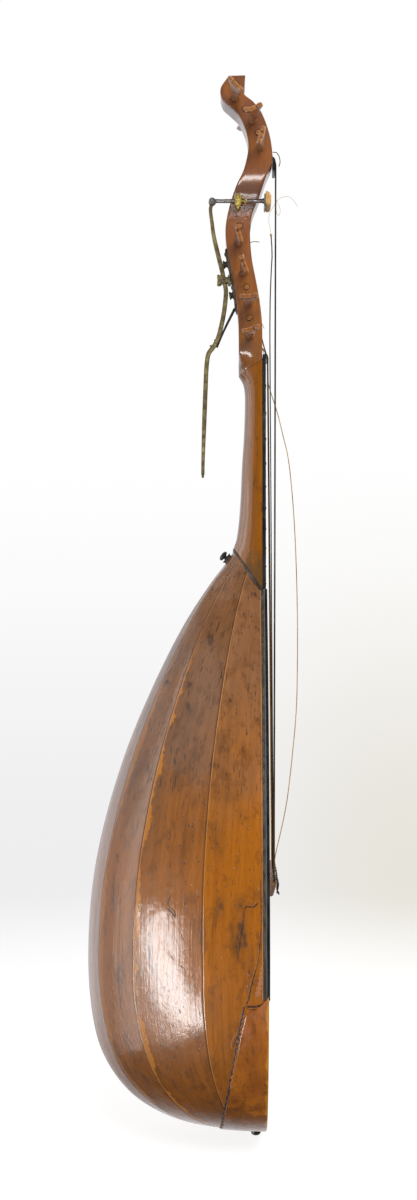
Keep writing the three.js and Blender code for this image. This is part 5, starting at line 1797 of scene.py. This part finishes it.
def make_guide():
    """The cast brass guide the rod slides in: round lobes, a pointed foot and a domed screw."""
    half = [(0, 1073.2), (1.5, 1074.2), (1.8, 1077.0), (3.4, 1079.4), (4.2, 1082.6),
            (3.8, 1085.3), (4.2, 1087.4), (2.9, 1089.8), (0, 1090.6)]
    other = [(-across, z) for across, z in half[-2:0:-1]]
    outline = even_points(half + other + [(-0.1, 1073.2)], 80)[:-1]
    middle = 1083
    rings = []
    for y, inset in ((-29.4, 0.5), (-29.9, 0.0), (-40.8, 0.0), (-41.3, 0.3), (-41.6, 0.9)):
        rings.append([(GUIDE_X + across * (1 - inset / 5), y, middle + (z - middle) * (1 - inset / 9))
                      for across, z in outline])
    body = loft(rings)
    dome = lathe([(3.9, 40.9), (4.0, 41.5), (3.6, 42.0), (2.2, 42.3), (2.2, 42.9), (1.8, 43.5),
                  (1.0, 43.9), (0.1, 44.0)], (GUIDE_X, 0, 1087.0), (0, -1, 0), 36)
    stalk = lathe([(1.1, 0), (1.1, 3.6), (0.4, 3.8)], (-17.4, -38.2, 1083.0), (1, 0, 0), 16)
    eyelet = torus((-12.6, -38.2, 1083.0), (0, 1, 0), 1.7, 0.9, 26, 10)
    add_mesh("brass_rod_guide", *merged(body, dome, stalk, eyelet), BRASS, "brass",
             replaces=["rod_guide"])


make_back_plate()
make_bracket()
make_lever()
make_spring()
make_push_rod()
make_pad()
make_guide()


# ---------------------------------------------------------------- inner pieces kept from the frame
def finish_inner_pieces():
    """The braces and blocks stay as the frame has them, in a better wood."""
    for node in ("brace_above_rose", "brace_below_rose", "brace_below_bridge", "tail_block",
                 "neck_block"):
        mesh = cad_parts[node].data
        mesh.materials.clear()
        mesh.materials.append(INNER_WOOD)


finish_inner_pieces()


# ---------------------------------------------------------------- studio
def make_floor():
    """A pale round floor that fades out at its rim, so no edge or horizon shows."""
    radius, solid = 1.9, 0.4
    mesh = bpy.data.meshes.new("floor")
    made = bmesh.new()
    bmesh.ops.create_circle(made, cap_ends=True, segments=128, radius=radius)
    made.to_mesh(mesh)
    made.free()
    floor = bpy.data.objects.new("floor", mesh)
    bpy.context.scene.collection.objects.link(floor)
    floor.location = (0, 0, -0.0006)
    s = Shader("pale_floor", {"Roughness": 0.9, "Specular IOR Level": 0.1})
    place = s.place()
    grey = s.mix(s.noise(place, 3, 3), (150, 150, 150), (142, 142, 142))
    s.tree.links.new(grey, s.surface.inputs["Base Color"])
    distance = s.node("ShaderNodeVectorMath", {0: place}, operation="LENGTH").outputs["Value"]
    fade = s.spread(distance, solid, radius * 0.92, 1.0, 0.0)
    s.tree.links.new(fade, s.surface.inputs["Alpha"])
    s.surface.inputs["Emission Color"].default_value = (1, 1, 1, 1)
    seen = s.node("ShaderNodeLightPath", {}).outputs["Is Camera Ray"]
    s.tree.links.new(s.spread(seen, 0, 1, 0.42, 0.86), s.surface.inputs["Emission Strength"])
    mesh.materials.append(s.material)
    floor.visible_glossy = False
    floor.visible_shadow = False


def make_world():
    """White all round: softly graded where it is seen, brighter behind than in front as light."""
    world = bpy.data.worlds.new("studio")
    bpy.context.scene.world = world
    world.use_nodes = True
    tree = world.node_tree
    tree.nodes.clear()

    def node(kind, inputs, **settings):
        return add_node(tree, kind, inputs, **settings)

    def mixed(share, first, second):
        return node("ShaderNodeMix", {0: share, 6: first, 7: second}, data_type="RGBA").outputs[2]

    def between(value, low, high, first, second):
        share = node("ShaderNodeMapRange", {0: value, 1: low, 2: high},
                     interpolation_type="SMOOTHSTEP").outputs[0]
        return mixed(share, first, second)

    direction = node("ShaderNodeTexCoord", {}).outputs["Generated"]
    x, y, z = node("ShaderNodeSeparateXYZ", {0: direction}).outputs
    seen = between(x, -0.02, 0.10, (0.865, 0.858, 0.862, 1), (0.80, 0.775, 0.71, 1))
    seen = between(z, -0.16, 0.10, seen, (1, 1, 1, 1))
    lit = between(y, 0.25, 0.72, (0.04, 0.04, 0.04, 1), (0.90, 0.90, 0.93, 1))
    low = between(y, 0.40, 0.92, (0.015, 0.015, 0.015, 1), (0.80, 0.80, 0.82, 1))
    high = between(y, 0.25, 0.72, (0.04, 0.04, 0.04, 1), (1.9, 1.9, 1.9, 1))
    lit = between(z, 0.2, 0.6, lit, high)
    lit = between(z, -0.65, -0.25, low, lit)
    rays = node("ShaderNodeLightPath", {}).outputs
    soft = between(x, -0.8, 0.7, (0.30, 0.29, 0.28, 1), (0.60, 0.60, 0.61, 1))
    light = mixed(rays["Is Diffuse Ray"], lit, soft)
    colour = mixed(rays["Is Camera Ray"], light, seen)
    background = node("ShaderNodeBackground", {0: colour, 1: 1.0}).outputs[0]
    node("ShaderNodeOutputWorld", {0: background})


def add_softbox(name, place, target, wide, tall, power, lean=0, glossy=True, only=()):
    """A flat lamp that either gives glossy highlights, on some pieces only, or lights the rest."""
    data = bpy.data.lights.new(name, "AREA")
    data.shape = "RECTANGLE"
    data.size = wide
    data.size_y = tall
    data.energy = power
    lamp = bpy.data.objects.new(name, data)
    bpy.context.scene.collection.objects.link(lamp)
    lamp.location = place
    aim = (Vector(target) - Vector(place)).to_track_quat("-Z", "Y")
    lamp.rotation_euler = (aim @ Quaternion((0, 0, 1), math.radians(lean))).to_euler()
    lamp.visible_camera = False
    lamp.visible_glossy = glossy
    lamp.visible_diffuse = not glossy
    if only:
        lit = bpy.data.collections.new(f"{name}_receivers")
        for piece in only:
            lit.objects.link(bpy.data.objects[piece])
        lamp.light_linking.receiver_collection = lit


def make_studio():
    """The floor, the world and the lamps of the photograph."""
    make_floor()
    make_world()
    neck = ["neck_shaft", "swan_pegbox"]
    head = ["swan_pegbox", "brass_rod_guide", "damper_rod", "steel_back_plate", "thumb_lever_bar",
            "brass_fork"]
    bowl_middle = (-0.05, -0.1, 0.2)
    add_softbox("left_softbox", (-1.81, -1.03, -0.36), bowl_middle, 0.42, 1.72, 41, lean=16)
    add_softbox("left_glow", (-1.78, -0.84, -0.50), bowl_middle, 0.72, 1.6, 4.5, lean=16)
    add_softbox("left_panel", (-1.98, 0.26, 0.35), (0, 0, 0.35), 0.48, 3.3, 11)
    add_softbox("left_upper", (-1.6, -0.8, 1.85), (0, 0, 0.5), 1.0, 1.0, 2.4)
    add_softbox("neck_panel", (-2.0, 0.25, 1.0), (0, 0, 0.85), 2.3, 1.1, 13, only=neck)
    add_softbox("front_strip", (-0.05, -2.15, 0.73), (0, 0, 1.1), 0.9, 0.19, 13, lean=-6, only=head)
    add_softbox("high_front", (0.5, -2.3, 2.0), (0, 0, 0.6), 1.6, 1.0, 56, glossy=False)
    view = bpy.context.scene.view_settings
    view.view_transform = "Standard"
    view.look = "None"
    view.exposure = 0
    view.gamma = 1


make_studio()
